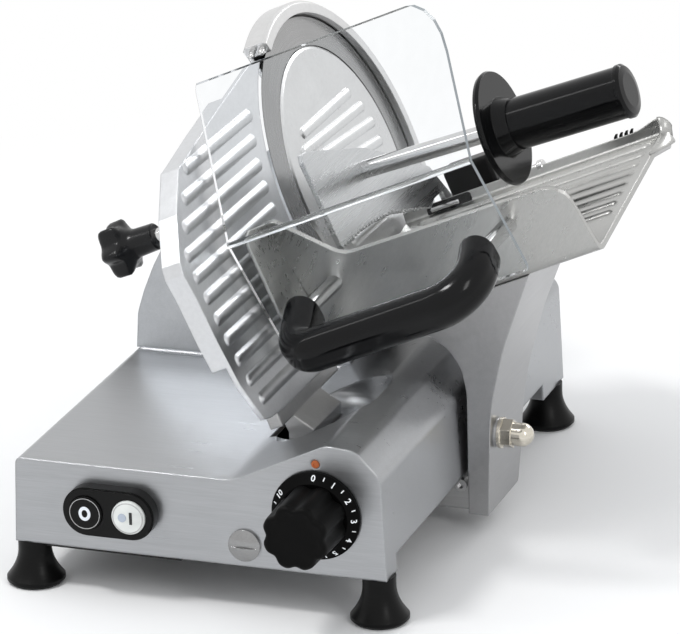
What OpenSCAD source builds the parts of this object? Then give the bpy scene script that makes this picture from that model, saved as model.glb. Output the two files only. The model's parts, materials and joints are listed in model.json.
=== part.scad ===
// Countertop gravity slicer with a ribbed gauge plate, a tilted round blade and a sliding product tray.
// Millimetres. X runs to the right, Y to the back, Z up. Sizes are taken from the base's front left
// corner on the bench, and the drawn part is moved so that its origin is under the middle.

/* [Base] */
// Width of the base at its lower edge
base_w = 292; // [286:1:300]
// Depth of the base
base_d = 440; // [430:1:460]
// Height of the feet
foot_h = 35.6; // [33:0.1:40]
// Height of the low flat top over the base's lower edge
deck_h = 66.8; // [66:0.1:69]
// Wall of the base casting
base_wall = 4; // [3:0.25:4.5]
// Height of the ridge on the right over the flat top
ridge_h = 34.6; // [30:0.1:38]
// Lean of the base's left side
side_draft = 2.7; // [1:0.1:4]

/* [Blade] */
// Diameter of the blade
blade_d = 250; // [246:1:252]
// Lean of the blade from upright
blade_tilt = 23.5; // [23:0.1:24]
// Thickness of the blade
blade_t = 4.5; // [4:0.1:5]
// Diameter of the cover plate on the blade
cover_d = 200; // [190:1:202]
// Wall of the ring guard
ring_wall = 10.5; // [8:0.25:11]

/* [Gauge] */
// Thickness of the gauge plate under its ribs
gauge_t = 3.8; // [3:0.1:4.2]
// Pitch of the ribs on the gauge plate
gauge_pitch = 17.3; // [16:0.1:19]
// Largest slice thickness
slice_max = 15; // [12:0.5:15]

/* [Tray] */
// Length of the tray away from the blade
tray_l = 230; // [226:1:250]
// Height of the tray's near wall
tray_wall_h = 67; // [60:1:72]
// Sheet thickness of the tray
tray_t = 4.5; // [3.5:0.25:5]
// Number of ribs on the tray's floor
tray_ribs = 8; // [6:1:8]

/* [Pusher] */
// Diameter of the pusher's grip
grip_d = 40; // [34:1:44]
// Length of the pusher's grip
grip_l = 100; // [85:1:115]
// Diameter of the hand disc
disc_d = 90; // [80:1:94]

/* [Controls] */
// Diameter of the dial's numbered skirt
skirt_d = 68; // [60:1:70]
// Diameter of the dial's lobed cap
cap_d = 53; // [46:1:56]
// Number of flutes round the dial's cap
cap_flutes = 8; // [6:1:10]
// Number of lobes on the star knob
star_lobes = 7; // [5:1:7]

/* [Hidden] */
$fn = 72;

// Overrun of cuts
over = 1;
// Clearance of pieces that lie loose beside each other
gap = 0.3;
// Clearance of a running fit, at the radius
fit = 0.05;

// Origin under the middle of the part
origin_x = 169.7;
origin_y = 213.8;

// Heights of the base
deck_z = foot_h + deck_h;
ridge_z = deck_z + ridge_h;
// Right side of the base: lean, chamfer and ridge
right_draft = 3;
chamfer_drop = 20;
ridge_edge_in = 22;
ridge_in = 45;
ridge_slope = 2;
flat_w = 174;
edge_cut = 5;
corner_cut = 9;
// Corner pads and the raised lower edge between them on the right
pad_w = 28;
pad_front = 24;
pad_rear = 54;
pad_h = 14;
side_gap_h = 13.4;

// Place of the blade's centre on its front face
blade_x = 148.5;
blade_rear = 100;
blade_rise = 130.1;
blade_y = base_d - blade_rear;
blade_z = deck_z + blade_rise;
blade_r = blade_d / 2;
edge_drop = 1.2;
edge_t = 0.5;
grind_w = 24;
cover_seat = 2;
hub_hole_r = 20;
cover_r = cover_d / 2;

// Ring guard round the blade
ring_gap = 1.5;
ring_front = 5;
ring_back = 16;
ring_web_t = 4;
ring_in_r = blade_r + ring_gap;
ring_out_r = ring_in_r + ring_wall;
ring_bore_r = 31;
ring_start = -100;
ring_end = 114.5;
ring_room = 0.8;
ring_chamfer = 2.5;
pin_d = 5;
pin_l = 5;
pin_step = 9;

// Groove in front of the motor housing
groove_ahead = 104;
groove_w = 10;
groove_deep = 1.2;
groove_y = blade_y - groove_ahead;

// Motor housing behind the blade
neck_back = 22;
neck_y = groove_y + groove_w;
neck_h = 175;
neck_lean = 27;
neck_rear_in = 26;
neck_front_in = 24;
shoulder_front = 15;
shoulder_rear = 8;
neck_soft = 3;
neck_round = 6;
neck_rear_round = 8;
hub_r = 45;
hub_l = 18;
bearing_r = 21;
bearing_w = 8;
spindle_r = 12;
spindle_bore_r = 7;
spindle_end = 52;
pulley_r = 28;
pulley_w = 13;
belt_t = 2;
belt_w = 10;
flange_r = 28;
flange_t = 5;
motor_pulley_r = 12;
motor_r = 36;
motor_l = 84;
motor_front = 66;
motor_v = -108;
motor_shaft_r = 6;
motor_fins = 10;
fin_w = 3;
fin_h = 2.5;
bracket_t = 5;
bracket_h = 62;

// Tie rod and star knob
rod_r = 6;
rod_boss_r = 12;
rod_boss_end = 152;
rod_boss_start = 118;
knob_hub_start = 178;
knob_hub_end = 203;
knob_hub_r = 11;
knob_end = 222;
knob_r = 24;
knob_core_r = 17;
lobe_r = 6.5;
knob_round = 4;

// Feet
foot_r = 22;
foot_rim = 5;
foot_neck_r = 12.5;
foot_stud_r = 4;
foot_stud_h = 10;
foot_in = 10;
foot_front_in = 12;
foot_rear_in = 13;
foot_neck_share = 0.22;
foot_x = [foot_in, base_w - foot_in];
foot_y = [foot_front_in, base_d - foot_rear_in];

// Front face
switch_x = 79.5;
switch_z = 69.5;
bezel_l = 72;
bezel_h = 38;
bezel_t = 12;
button_gap = 34;
button_r = 13;
button_out = 2.5;
button_travel = 2.5;
button_well = 9;
lens_r = 3.2;
switch_block_w = 60;
switch_block_h = 30;
switch_block_d = 28;
plug_x = 182.5;
plug_z = 52.5;
plug_r = 12.4;
plug_h = 5;
slot_w = 2.4;
slot_deep = 2;
dial_in = 52.7;
dial_drop = 19.6;
dial_x = base_w - dial_in;
dial_z = deck_z - dial_drop;
skirt_t = 8;
cap_h = 41;
flute_r = 9;
flute_deep = 2.6;
cap_round = 4;
dial_shaft_r = 5;
index_rise = 19.6;
index_z = deck_z + index_rise;
index_r = 3;
gland_x = 60;
gland_z = 62;
gland_r = 9;
gland_l = 14;
gland_bore_r = 4;

// Carriage guide
guide_r = 10;
bush_r = 13;
bush_l = 14;
bar_r = 6;
bar_in = 24;
bar_drop = 40.4;
bar_z = deck_z - bar_drop;
boss_r = 16;
boss_l = 8;
arm_ahead = 156;
arm_y = blade_y - arm_ahead;
foot_back = 11;
foot_y0 = arm_y + foot_back;
foot_l = 55;
carriage_z0 = 17;
plate_h = 27;
roller_r = 9;
roller_w = 8;
axle_r = 4;

// Support arm
arm_gap = 2.7;
arm_x = base_w + arm_gap;
arm_w = 16;
arm_d = 122;
arm_reach = 56;
arm_inner = 64;
arm_rise = 132;
arm_edge = 2;
arm_round = 6;
arm_inner_round = 7.5;
arm_big_round = 9;
nut_back = 19;
nut_y = arm_y + nut_back;
nut_z = 79;
nut_flat = 20;
nut_l = 16;
nut_boss_r = 11;
nut_boss_l = 4;
washer_t = 2.5;
washer_r = 12;
stud_r = 4;
lock_z = 38;
lock_in = 8;
lock_r = 5;
lock_head = 6;
lock_out = 15;

// Dish for the gauge support
column_x = 186;
column_w = 20;
dish_right = 13;
dish_ahead = 237;
dish_l = 29;
dish_x = column_x + column_w / 2 + dish_right;
dish_y0 = blade_y - dish_ahead;
dish_y1 = dish_y0 + dish_l;
dish_r = 42;
dish_round = 12;

// Gauge plate outline: Y behind the blade's centre and height up the blade
gauge_left = -327;
gauge_top = 116;
gauge_bottom = -107;
gauge_rise = 2.2;
gauge_arc_gap = 3.5;
gauge_arc_r = blade_r + gauge_arc_gap;
rib_w = 10;
rib_end_gap = 14;
rib_start_gap = 11;
rib_shift = 2;
rim_t = 4;
rim_back = 12;
gauge_back = gauge_rise + gauge_t;

// Gauge support, its slide rod and the cam on the dial's shaft
strip_t = 10;
strip_low = -118;
strip_high = -80;
strip_ahead = 274;
strip_l = 124;
strip_y0 = blade_y - strip_ahead;
strip_y1 = strip_y0 + strip_l;
column_ahead = 250;
column_l = 60;
column_y0 = blade_y - column_ahead;
column_y1 = column_y0 + column_l;
column_foot_drop = 26.4;
column_foot_z = deck_z - column_foot_drop;
column_foot_h = 22;
gauge_rod_r = 5;
gauge_rod_ahead = 126;
gauge_rod_drop = 12.4;
gauge_rod_y = blade_y - gauge_rod_ahead;
gauge_rod_z = deck_z - gauge_rod_drop;
gauge_rod_l = 74;
lug_t = 8;
support_lap = 13;
support_y1 = gauge_rod_y + support_lap;
cam_ahead = 156;
cam_y = blade_y - cam_ahead;
cam_t = 6;
cam_r = 12;
cam_turn = 300;
cam_hold = 18;
cam_fall = 22;
pin_r = 4;
follower_t = 6;

// Tray, in the blade's frame: Y behind the centre, height up the blade, distance out from the blade
tray_n0 = 6;
tray_y = -160;
tray_v = -93;
wall_lean = 16;
floor_rise = 7;
floor_l = 208;
upstand_h = 9;
upstand_w = 4;
ear_h = 112;
ear_w = 10;
ear_foot = 45;
tray_bend = 9;
tray_small_bend = 4;
wall_corner = 22;
rib_first = 70;
rib_last_in = 15.5;
floor_rib_pitch = (floor_l - rib_first - rib_last_in) / (tray_ribs - 1);
floor_rib_w = 9;
floor_rib_h = 2;
floor_rib_start = 16;
floor_rib_end = 7;
wall_end_drop = 3;
ear_round = 3;
ear_foot_round = 10;
tray_n1 = tray_n0 + tray_l;

// Posts, hand guard and carriage handle
post_r = 6.5;
post_left_n = 33;
post_right_in = 54;
post_n = [post_left_n, tray_n1 - post_right_in];
post_left_v = -48;
post_right_v = -50;
post_v = [post_left_v, post_right_v];
guard_t = 4;
guard_n0 = 5.3;
guard_w = 205.7;
guard_low_y = -237.5;
guard_low_v = -73;
guard_bend_y = -256.5;
guard_bend_v = 20;
guard_top_y = -197.5;
guard_top_v = 132;
guard_corner = 42;
guard_small_corner = 10;
guard_stud_r = 4;
handle_y = -283;
handle_v = -69;
handle_w = 34;
handle_t = 28;
handle_tilt = 25;
handle_bend_left = 16;
handle_bend_right = 32;
handle_leg = 56;
handle_reach = 22;

// Pusher
rod_back = 21.55;
rod_drop = 4.35;
rod_y = tray_y + floor_l * cos(floor_rise) + rod_back;
rod_v = tray_v + floor_l * sin(floor_rise) - rod_drop;
pusher_rod_r = 6;
rod_in = 4;
rod_end_in = 5;
pusher_rod_n0 = tray_n0 + rod_in;
pusher_rod_n1 = tray_n1 - rod_end_in;
holder_t = 6;
holder_in = 6;
holder_end_in = 14;
holder_n = [tray_n0 + holder_in, tray_n1 - holder_end_in];
holder_r = 11;
sleeve_r = 9;
sleeve_n0 = 34;
sleeve_n1 = 102;
collar_t = 3.7;
collar_r = 12;
pusher_n = 38;
pusher_t = 4;
pusher_boss_r = 13;
pusher_plate_l = 156;
pusher_plate_h = 48;
plate_arm_l = 46;
plate_arm_h = 42;
tooth_pitch = 6;
tooth_h = 3;
tube_r = 7;
tube_y = -62;
tube_v = 5;
tube_droop = 2.6;
tube_l = 121;
disc_t = 5;
disc_hub_r = 24;
disc_hub_l = 10;
cap_t = 6;

// Helpers
function unit(v) = v / norm(v);
function around(p, i) = p[(i + len(p)) % len(p)];
function turned(v) = [-v[1], v[0]];
function bend(u, w, d) = (turned(u) + turned(w)) * d / (1 + u * w);

// Closed outline moved inwards by d, for points that run counter-clockwise
function inset(p, d) = [
    for (i = [0:len(p) - 1])
        p[i] + bend(unit(p[i] - around(p, i - 1)), unit(around(p, i + 1) - p[i]), d)
];

// Outline with its corners rounded off, each by its own length
function soften(p, cuts, steps = 6) = [
    for (i = [0:len(p) - 1])
        let (a = p[i] + unit(around(p, i - 1) - p[i]) * cuts[i])
        let (b = p[i] + unit(around(p, i + 1) - p[i]) * cuts[i])
        each cuts[i] == 0 ? [p[i]] : [
            for (k = [0:steps])
                let (s = k / steps)
                (1 - s) * (1 - s) * a + 2 * s * (1 - s) * p[i] + s * s * b
        ]
];

// One side of an open line, moved by d
function side(p, d) = [
    for (i = [0:len(p) - 1])
        let (last = len(p) - 1)
        let (u = i == 0 ? unit(p[1] - p[0]) : unit(p[i] - p[i - 1]))
        let (w = i == last ? u : unit(p[i + 1] - p[i]))
        p[i] + bend(u, w, d)
];
function reversed(p) = [for (i = [len(p) - 1:-1:0]) p[i]];
function strip(p, t) = concat(side(p, -t / 2), reversed(side(p, t / 2)));

module at_origin() {
    translate([-origin_x, -origin_y, 0]) children();
}

// Blade frame: x to the back, y up the blade, z out from its face
module on_blade() {
    translate([blade_x, blade_y, blade_z])
        rotate([0, -blade_tilt, 0])
            rotate([90, 0, 90])
                children();
}

module along_y(y0, l) {
    translate([0, y0 + l, 0]) rotate([90, 0, 0]) linear_extrude(l) children();
}

module along_x(x0, l) {
    translate([x0, 0, 0]) rotate([90, 0, 90]) linear_extrude(l) children();
}

// Flat shape in the blade frame, from n0 outwards
module out_from(n0, l) {
    translate([0, 0, n0]) linear_extrude(l) children();
}

module rod_y(x, z, r, y0, l) {
    translate([x, y0 + l, z]) rotate([90, 0, 0]) cylinder(h = l, r = r);
}

module stadium(l, h) {
    square([l - h, h], center = true);
    for (s = [-1, 1])
        translate([s * (l - h) / 2, 0]) circle(d = h);
}

// Rib with round ends: a capsule sunk so that only its back stands proud, rooted half its height deep
function rib_sink(w, h) = (w * w / 4 - h * h) / (2 * h);

module rib(l, w, h) {
    sink = rib_sink(w, h);
    r = h + sink;
    intersection() {
        translate([0, -sink, 0])
            union() {
                translate([w / 2, 0, 0]) rotate([0, 90, 0]) cylinder(h = l - w, r = r);
                translate([w / 2, 0, 0]) sphere(r = r);
                translate([l - w / 2, 0, 0]) sphere(r = r);
            }
        translate([-w, -h / 2, -w]) cube([l + 2 * w, 1.5 * h + over, 2 * w]);
    }
}

// Outline of the base, seen from the front
base_outline = [
    [0, foot_h],
    [base_w, foot_h],
    [base_w - right_draft, ridge_z - ridge_slope - chamfer_drop],
    [base_w - ridge_edge_in, ridge_z - ridge_slope],
    [base_w - ridge_in, ridge_z],
    [flat_w, deck_z],
    [side_draft, deck_z]
];
base_cuts = [0, 0, edge_cut, edge_cut, edge_cut, corner_cut, edge_cut];
base_inside = inset(base_outline, base_wall);

module base_solid() {
    along_y(0, base_d) polygon(soften(base_outline, base_cuts));
}

module dish(r, round_r, h) {
    half = concat(
        [[0, 0], [r - round_r, 0]],
        [for (a = [-75:15:-15]) [r - round_r + round_r * cos(a), round_r + round_r * sin(a)]],
        [[r, round_r], [r, h], [0, h]]
    );
    for (y = [dish_y0, dish_y1])
        translate([dish_x, y, 0]) rotate_extrude() polygon(half);
    for (s = [0, 1])
        translate([dish_x, 0, 0]) mirror([s, 0, 0]) along_y(dish_y0, dish_y1 - dish_y0) polygon(half);
}

module ring_space(extra) {
    on_blade()
        translate([0, 0, -ring_back - extra])
            cylinder(h = ring_back + ring_front + 2 * extra + ring_room, r = ring_out_r + extra);
}

module foot_pads() {
    for (x = [0, base_w - pad_w])
        translate([x, 0, foot_h]) cube([pad_w, pad_front, pad_h]);
    for (x = [0, base_w - pad_w])
        translate([x, base_d - pad_rear, foot_h]) cube([pad_w, pad_rear, pad_h]);
}

module guide_bosses() {
    for (y = [0, base_d - base_wall - boss_l]) {
        rod_y(plug_x, plug_z, boss_r, y, base_wall + boss_l);
        rod_y(base_w - bar_in, bar_z, boss_r - bar_r, y, base_wall + boss_l);
    }
}

// Lugs under the deck that hold the gauge's slide rod
module gauge_lugs() {
    for (s = [-1, 1])
        translate([column_x + column_w / 2, gauge_rod_y, gauge_rod_z])
            rotate([0, -blade_tilt, 0])
                translate([
                    s * (gauge_rod_l - lug_t) / 2 - lug_t / 2,
                    -2 * gauge_rod_r,
                    -gauge_rod_r - base_wall / 2
                ])
                    cube([lug_t, 4 * gauge_rod_r, deck_h]);
}

module gauge_rod_hole(r, extra) {
    translate([column_x + column_w / 2, gauge_rod_y, gauge_rod_z])
        rotate([0, 90 - blade_tilt, 0])
            cylinder(h = gauge_rod_l + 2 * extra, r = r, center = true);
}

module base_housing() {
    slot_run = slice_max * cos(blade_tilt);
    color("silver")
    difference() {
        union() {
            difference() {
                base_solid();
                along_y(base_wall, base_d - 2 * base_wall) polygon(base_inside);
                translate([base_wall, base_wall, foot_h - over])
                    cube([base_w - 2 * base_wall, base_d - 2 * base_wall, base_wall + 2 * over]);
            }
            intersection() {
                base_solid();
                union() {
                    foot_pads();
                    guide_bosses();
                    gauge_lugs();
                    translate([0, 0, deck_z - base_wall]) dish(dish_r + base_wall, dish_round, deck_h);
                    ring_space(base_wall);
                }
            }
        }
        translate([0, 0, deck_z]) dish(dish_r, dish_round, deck_h);
        ring_space(ring_room);
        translate([column_x - slot_run - over, column_y0 - over, deck_z - 2 * base_wall])
            cube([column_w + slot_run + 2 * over, column_y1 - column_y0 + 2 * over, 3 * base_wall]);
        gauge_rod_hole(gauge_rod_r + fit, -base_wall / 4);
        translate([base_w - pad_w - base_wall, pad_front, foot_h - over])
            cube([pad_w + 2 * base_wall, base_d - pad_front - pad_rear, side_gap_h + over]);
        translate([-over, groove_y, deck_z - groove_deep])
            cube([flat_w, groove_w, groove_deep + over]);
        translate([4 * base_wall, neck_y + 2 * base_wall, deck_z - 2 * base_wall])
            cube([flat_w - 5 * base_wall, base_d - neck_y - 4 * base_wall, 3 * base_wall]);
        rod_y(plug_x, plug_z, guide_r + fit, -over, base_d + over - base_wall / 2);
        rod_y(base_w - bar_in, bar_z, bar_r + fit, base_wall / 2, base_d - base_wall);
        rod_y(dial_x, dial_z, dial_shaft_r + fit, -over, base_wall + 2 * over);
        rod_y(dial_x, index_z, index_r + fit, -over, base_wall / 2 + over);
        for (s = [-1, 1])
            rod_y(switch_x + s * button_gap / 2, switch_z, button_r - over, -over, base_wall + 2 * over);
        rod_y(gland_x, gland_z, gland_r - 2 * over + fit, base_d - base_wall - over, base_wall + 2 * over);
        for (x = foot_x)
            for (y = foot_y)
                translate([x, y, foot_h - over]) cylinder(h = foot_stud_h + 2 * over, r = foot_stud_r + fit);
    }
}

cover_plate_t = 2.5;
cover_plate_in = 24;
cover_plate_w = 107;
cover_plate_y = 12;

module bottom_cover() {
    color("dimgray")
    difference() {
        translate([cover_plate_in, cover_plate_t, foot_h - cover_plate_t])
            cube([cover_plate_w, base_d - 2 * cover_plate_t, cover_plate_t]);
        for (x = [cover_plate_in + cover_plate_y, cover_plate_in + cover_plate_w - cover_plate_y])
            for (y = [2 * cover_plate_y, base_d - 2 * cover_plate_y])
                translate([x, y, foot_h - cover_plate_t - over])
                    cylinder(h = cover_plate_t / 2 + over, r = stud_r);
    }
}

module foot() {
    top_h = foot_h * foot_neck_share;
    flare = [
        for (k = [0:8])
            let (s = k / 8)
            [foot_neck_r + (foot_r - foot_neck_r) * pow(1 - s, 2), foot_rim + (foot_h - top_h - foot_rim) * s]
    ];
    color([0.1, 0.1, 0.1])
    union() {
        rotate_extrude()
            polygon(concat(
                [[0, 0], [foot_r - foot_rim / 2, 0], [foot_r, foot_rim / 2]],
                flare,
                [[foot_neck_r, foot_h], [0, foot_h]]
            ));
        translate([0, 0, foot_h - over]) cylinder(h = foot_stud_h + over, r = foot_stud_r);
    }
}

module foot_front_left() { translate([foot_x[0], foot_y[0], 0]) foot(); }
module foot_front_right() { translate([foot_x[1], foot_y[0], 0]) foot(); }
module foot_rear_left() { translate([foot_x[0], foot_y[1], 0]) foot(); }
module foot_rear_right() { translate([foot_x[1], foot_y[1], 0]) foot(); }

module switch_bezel() {
    step = 2 * over;
    color([0.12, 0.12, 0.12])
    difference() {
        union() {
            translate([switch_x, 0, switch_z])
                along_y(-bezel_t + step, bezel_t - step) stadium(bezel_l, bezel_h);
            translate([switch_x, 0, switch_z])
                along_y(-bezel_t, bezel_t - step) stadium(bezel_l - step, bezel_h - step);
        }
        for (s = [-1, 1])
            rod_y(switch_x + s * button_gap / 2, switch_z, button_r + gap, -bezel_t - over, button_well + over);
        for (s = [-1, 1])
            rod_y(switch_x + s * button_gap / 2, switch_z, button_r / 2, -bezel_t, bezel_t + over);
    }
}

module switch_block() {
    color([0.2, 0.2, 0.2])
        translate([switch_x - switch_block_w / 2, base_wall, switch_z - switch_block_h / 2])
            cube([switch_block_w, switch_block_d, switch_block_h]);
}

button_l = button_well + button_out - button_travel - gap;

module button(s, bore) {
    x = switch_x + s * button_gap / 2;
    front = -bezel_t - button_out;
    difference() {
        union() {
            rod_y(x, switch_z, button_r, front + over, button_l - over);
            rod_y(x, switch_z, button_r - over, front, button_l);
            rod_y(x, switch_z, button_r / 2 - gap, -bezel_t, bezel_t + base_wall - button_travel - gap);
        }
        if (bore)
            rod_y(x - button_r / 3, switch_z, lens_r, front - over, 2 * over);
    }
}

module stop_button() { color([0.08, 0.08, 0.08]) button(-1, false); }
module start_button() { color("whitesmoke") button(1, true); }

module pilot_lens() {
    x = switch_x + button_gap / 2 - button_r / 3;
    color("lightgray")
        rod_y(x, switch_z, lens_r, -bezel_t - button_out - over / 2, 1.5 * over);
}

module rod_plug() {
    dome = plug_h - slot_deep;
    ball = (plug_r * plug_r + dome * dome) / (2 * dome);
    color("silver")
    difference() {
        union() {
            intersection() {
                translate([plug_x, ball - plug_h, plug_z]) sphere(r = ball);
                rod_y(plug_x, plug_z, plug_r, -plug_h, plug_h);
            }
            rod_y(plug_x, plug_z, guide_r - gap, -over, base_wall);
        }
        translate([plug_x - plug_r, -plug_h - over, plug_z - slot_w / 2])
            cube([2 * plug_r, slot_deep + over, slot_w]);
    }
}

module guide_rod() {
    color("lightgray")
        rod_y(plug_x, plug_z, guide_r, base_wall, base_d - 1.5 * base_wall);
}

module guide_bar() {
    color("lightgray")
        rod_y(base_w - bar_in, bar_z, bar_r, base_wall, base_d - 2 * base_wall);
}

module cord_gland() {
    color([0.1, 0.1, 0.1])
    difference() {
        union() {
            rod_y(gland_x, gland_z, gland_r, base_d, gland_l / 2);
            rod_y(gland_x, gland_z, gland_r - 2 * over, base_d - base_wall, gland_l + base_wall);
        }
        rod_y(gland_x, gland_z, gland_bore_r, base_d - base_wall - over, gland_l + base_wall + 2 * over);
    }
}

module index_mark() {
    color("peru")
    difference() {
        rod_y(dial_x, index_z, index_r, -over / 2, base_wall / 2);
        rod_y(dial_x, index_z, index_r / 2, -over, over);
    }
}

// Housing behind the blade: front outline by side outline
function neck_x(n, v) = blade_x + n * cos(blade_tilt) - v * sin(blade_tilt);
function neck_z(n, v) = blade_z + n * sin(blade_tilt) + v * cos(blade_tilt);
neck_low = -(blade_z - deck_z) / cos(blade_tilt) + neck_back * tan(blade_tilt) - over;
// Points as shares of the housing's height, and of how far its left side, rear and front lean in
neck_left_shares = [[1, 0.491], [0.667, 0.461], [0.381, 0.363], [0.141, 0.249], [0.011, 0.158]];
neck_rear_shares = [[0, 0.171], [0.308, 0.343], [1, 0.526]];
neck_front_shares = [[1, 0.491], [0.583, 0.331], [0.167, 0.149]];
shoulder_shares = [0.697, 0.829, 0.657];
hub_fall_share = 0.8;
neck_front = concat(
    [
        [side_draft, deck_z],
        [neck_x(-neck_back, neck_low), neck_z(-neck_back, neck_low)],
        [neck_x(-neck_back, hub_r), neck_z(-neck_back, hub_r)],
        [neck_x(-neck_back, hub_r) - hub_l, neck_z(-neck_back, hub_r) - hub_l * hub_fall_share]
    ],
    [for (s = neck_left_shares) [side_draft + s[0] * neck_lean, deck_z + s[1] * neck_h]]
);
neck_cuts = [0, 0, 0, edge_cut, edge_cut, neck_soft, neck_soft, neck_soft, neck_soft];
neck_side = concat(
    [[neck_y, deck_z], [base_d, deck_z]],
    [for (s = neck_rear_shares) [base_d - s[0] * neck_rear_in, deck_z + s[1] * neck_h]],
    [
        [blade_y + hub_r + shoulder_rear, deck_z + shoulder_shares[0] * neck_h],
        [blade_y + hub_r, deck_z + shoulder_shares[1] * neck_h],
        [blade_y + hub_r, deck_z + neck_h],
        [blade_y - hub_r, deck_z + neck_h],
        [blade_y - hub_r, deck_z + shoulder_shares[1] * neck_h],
        [blade_y - hub_r - shoulder_front, deck_z + shoulder_shares[2] * neck_h]
    ],
    [for (s = neck_front_shares) [neck_y + s[0] * neck_front_in, deck_z + s[1] * neck_h]]
);
neck_side_cuts = [
    0, 0, neck_round, neck_rear_round, neck_rear_round, neck_round, neck_round,
    0, 0, neck_round, neck_round, neck_round, neck_round, neck_round
];

module neck(d) {
    intersection() {
        along_y(neck_y + d, base_d - neck_y - 2 * d)
            polygon(d == 0 ? soften(neck_front, neck_cuts) : inset(neck_front, d));
        along_x(0, base_w)
            polygon(d == 0 ? soften(neck_side, neck_side_cuts) : inset(neck_side, d));
    }
}

module motor_housing() {
    color("silver")
    difference() {
        union() {
            difference() {
                neck(0);
                neck(base_wall);
                translate([2 * base_wall, neck_y + base_wall, deck_z - over])
                    cube([flat_w - 3 * base_wall, base_d - neck_y - 2 * base_wall, base_wall + 2 * over]);
            }
            on_blade() translate([0, 0, -ring_back - hub_l]) cylinder(h = hub_l, r = hub_r);
            on_blade() translate([0, 0, -rod_boss_end])
                cylinder(h = rod_boss_end - rod_boss_start, r = rod_boss_r);
        }
        on_blade() translate([0, 0, -ring_back - hub_l - over])
            cylinder(h = hub_l + 2 * over, r = bearing_r + fit);
        on_blade() translate([0, 0, -rod_boss_end - over])
            cylinder(h = rod_boss_end - rod_boss_start + 2 * over, r = rod_r + fit);
        base_solid();
    }
}

module ring_guard() {
    c = ring_chamfer;
    color("gainsboro")
    on_blade()
        rotate([0, 0, ring_start])
            rotate_extrude(angle = ring_end - ring_start)
                polygon([
                    [ring_bore_r, -ring_back],
                    [ring_out_r - c, -ring_back],
                    [ring_out_r, -ring_back + c],
                    [ring_out_r, ring_front - c],
                    [ring_out_r - c, ring_front],
                    [ring_in_r, ring_front],
                    [ring_in_r, -ring_back + ring_web_t],
                    [ring_bore_r, -ring_back + ring_web_t]
                ]);
}

module ring_pins() {
    mid = (ring_in_r + ring_out_r) / 2;
    color("gray")
    on_blade()
        rotate([0, 0, ring_end])
            for (n = [0, -pin_step])
                translate([mid, 0, n]) rotate([-90, 0, 0]) {
                    cylinder(h = pin_l, d = pin_d);
                    translate([0, 0, pin_l]) sphere(d = pin_d);
                }
}

module motor() {
    color("dimgray")
    on_blade()
        translate([0, motor_v, -motor_front - motor_l])
            difference() {
                union() {
                    cylinder(h = motor_l, r = motor_r - fin_h);
                    for (i = [0:motor_fins - 1])
                        translate([0, 0, (i + 0.5) * motor_l / motor_fins - fin_w / 2])
                            cylinder(h = fin_w, r = motor_r);
                }
                translate([0, 0, motor_l / 2]) cylinder(h = motor_l, r = motor_shaft_r + gap);
            }
}

module motor_bracket() {
    color("silver")
    intersection() {
        on_blade()
            difference() {
                translate([-motor_r - bracket_t, motor_v - bracket_h / 2, -motor_front])
                    cube([base_d - blade_y + motor_r, bracket_h, bracket_t]);
                translate([0, motor_v, -motor_front - over])
                    cylinder(h = bracket_t + 2 * over, r = motor_shaft_r + gap);
            }
        along_y(base_wall, base_d - 3 * base_wall)
            polygon([
                [base_wall + side_draft, foot_h + base_wall],
                [base_w - pad_w, foot_h + base_wall],
                [flat_w, deck_z + deck_h / 2],
                [base_wall + side_draft, deck_z + deck_h / 2]
            ]);
    }
}

module motor_shaft() {
    mid = spindle_end - pulley_w;
    color("gray")
    on_blade()
        translate([0, motor_v, 0]) {
            translate([0, 0, -motor_front - motor_l / 2 + gap])
                cylinder(h = motor_front + motor_l / 2 - mid - gap, r = motor_shaft_r);
            translate([0, 0, -spindle_end]) cylinder(h = pulley_w, r = motor_pulley_r - gap);
            for (n = [-spindle_end, -mid - over])
                translate([0, 0, n]) cylinder(h = over, r = motor_pulley_r + belt_t);
        }
}

module belt_outline(extra) {
    lean = asin((pulley_r - motor_pulley_r) / -motor_v);
    a = pulley_r + extra;
    b = motor_pulley_r + extra;
    circle(r = a);
    translate([0, motor_v]) circle(r = b);
    polygon([
        [a * cos(lean), -a * sin(lean)],
        [-a * cos(lean), -a * sin(lean)],
        [-b * cos(lean), motor_v - b * sin(lean)],
        [b * cos(lean), motor_v - b * sin(lean)]
    ]);
}

module drive_belt() {
    color([0.15, 0.15, 0.15])
    on_blade()
        out_from(-spindle_end + (pulley_w - belt_w) / 2, belt_w)
            difference() {
                belt_outline(belt_t);
                belt_outline(0);
            }
}

module bearing(n) {
    color("lightgray")
    on_blade()
        out_from(n, bearing_w)
            difference() {
                circle(r = bearing_r);
                circle(r = spindle_r + fit);
            }
}

module bearing_front() { bearing(-ring_back - bearing_w); }
module bearing_rear() { bearing(-ring_back - hub_l); }

module blade_hub() {
    color("gray")
    on_blade()
        difference() {
            union() {
                translate([0, 0, -blade_t - flange_t]) cylinder(h = flange_t, r = flange_r);
                translate([0, 0, -blade_t - over])
                    cylinder(h = blade_t - cover_seat + over - gap, r = hub_hole_r - fit);
                translate([0, 0, -spindle_end]) cylinder(h = spindle_end - blade_t, r = spindle_r);
                translate([0, 0, -spindle_end]) cylinder(h = pulley_w, r = pulley_r - gap);
            }
            translate([0, 0, -spindle_end - over]) cylinder(h = spindle_end + over, r = spindle_bore_r);
        }
}

module blade() {
    color("lightgray")
    on_blade()
        rotate_extrude()
            polygon([
                [hub_hole_r, -blade_t],
                [blade_r - grind_w / 2, -blade_t],
                [blade_r, -edge_drop - edge_t],
                [blade_r, -edge_drop],
                [cover_r + over, 0],
                [cover_r + over, -cover_seat],
                [hub_hole_r, -cover_seat]
            ]);
}

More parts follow.
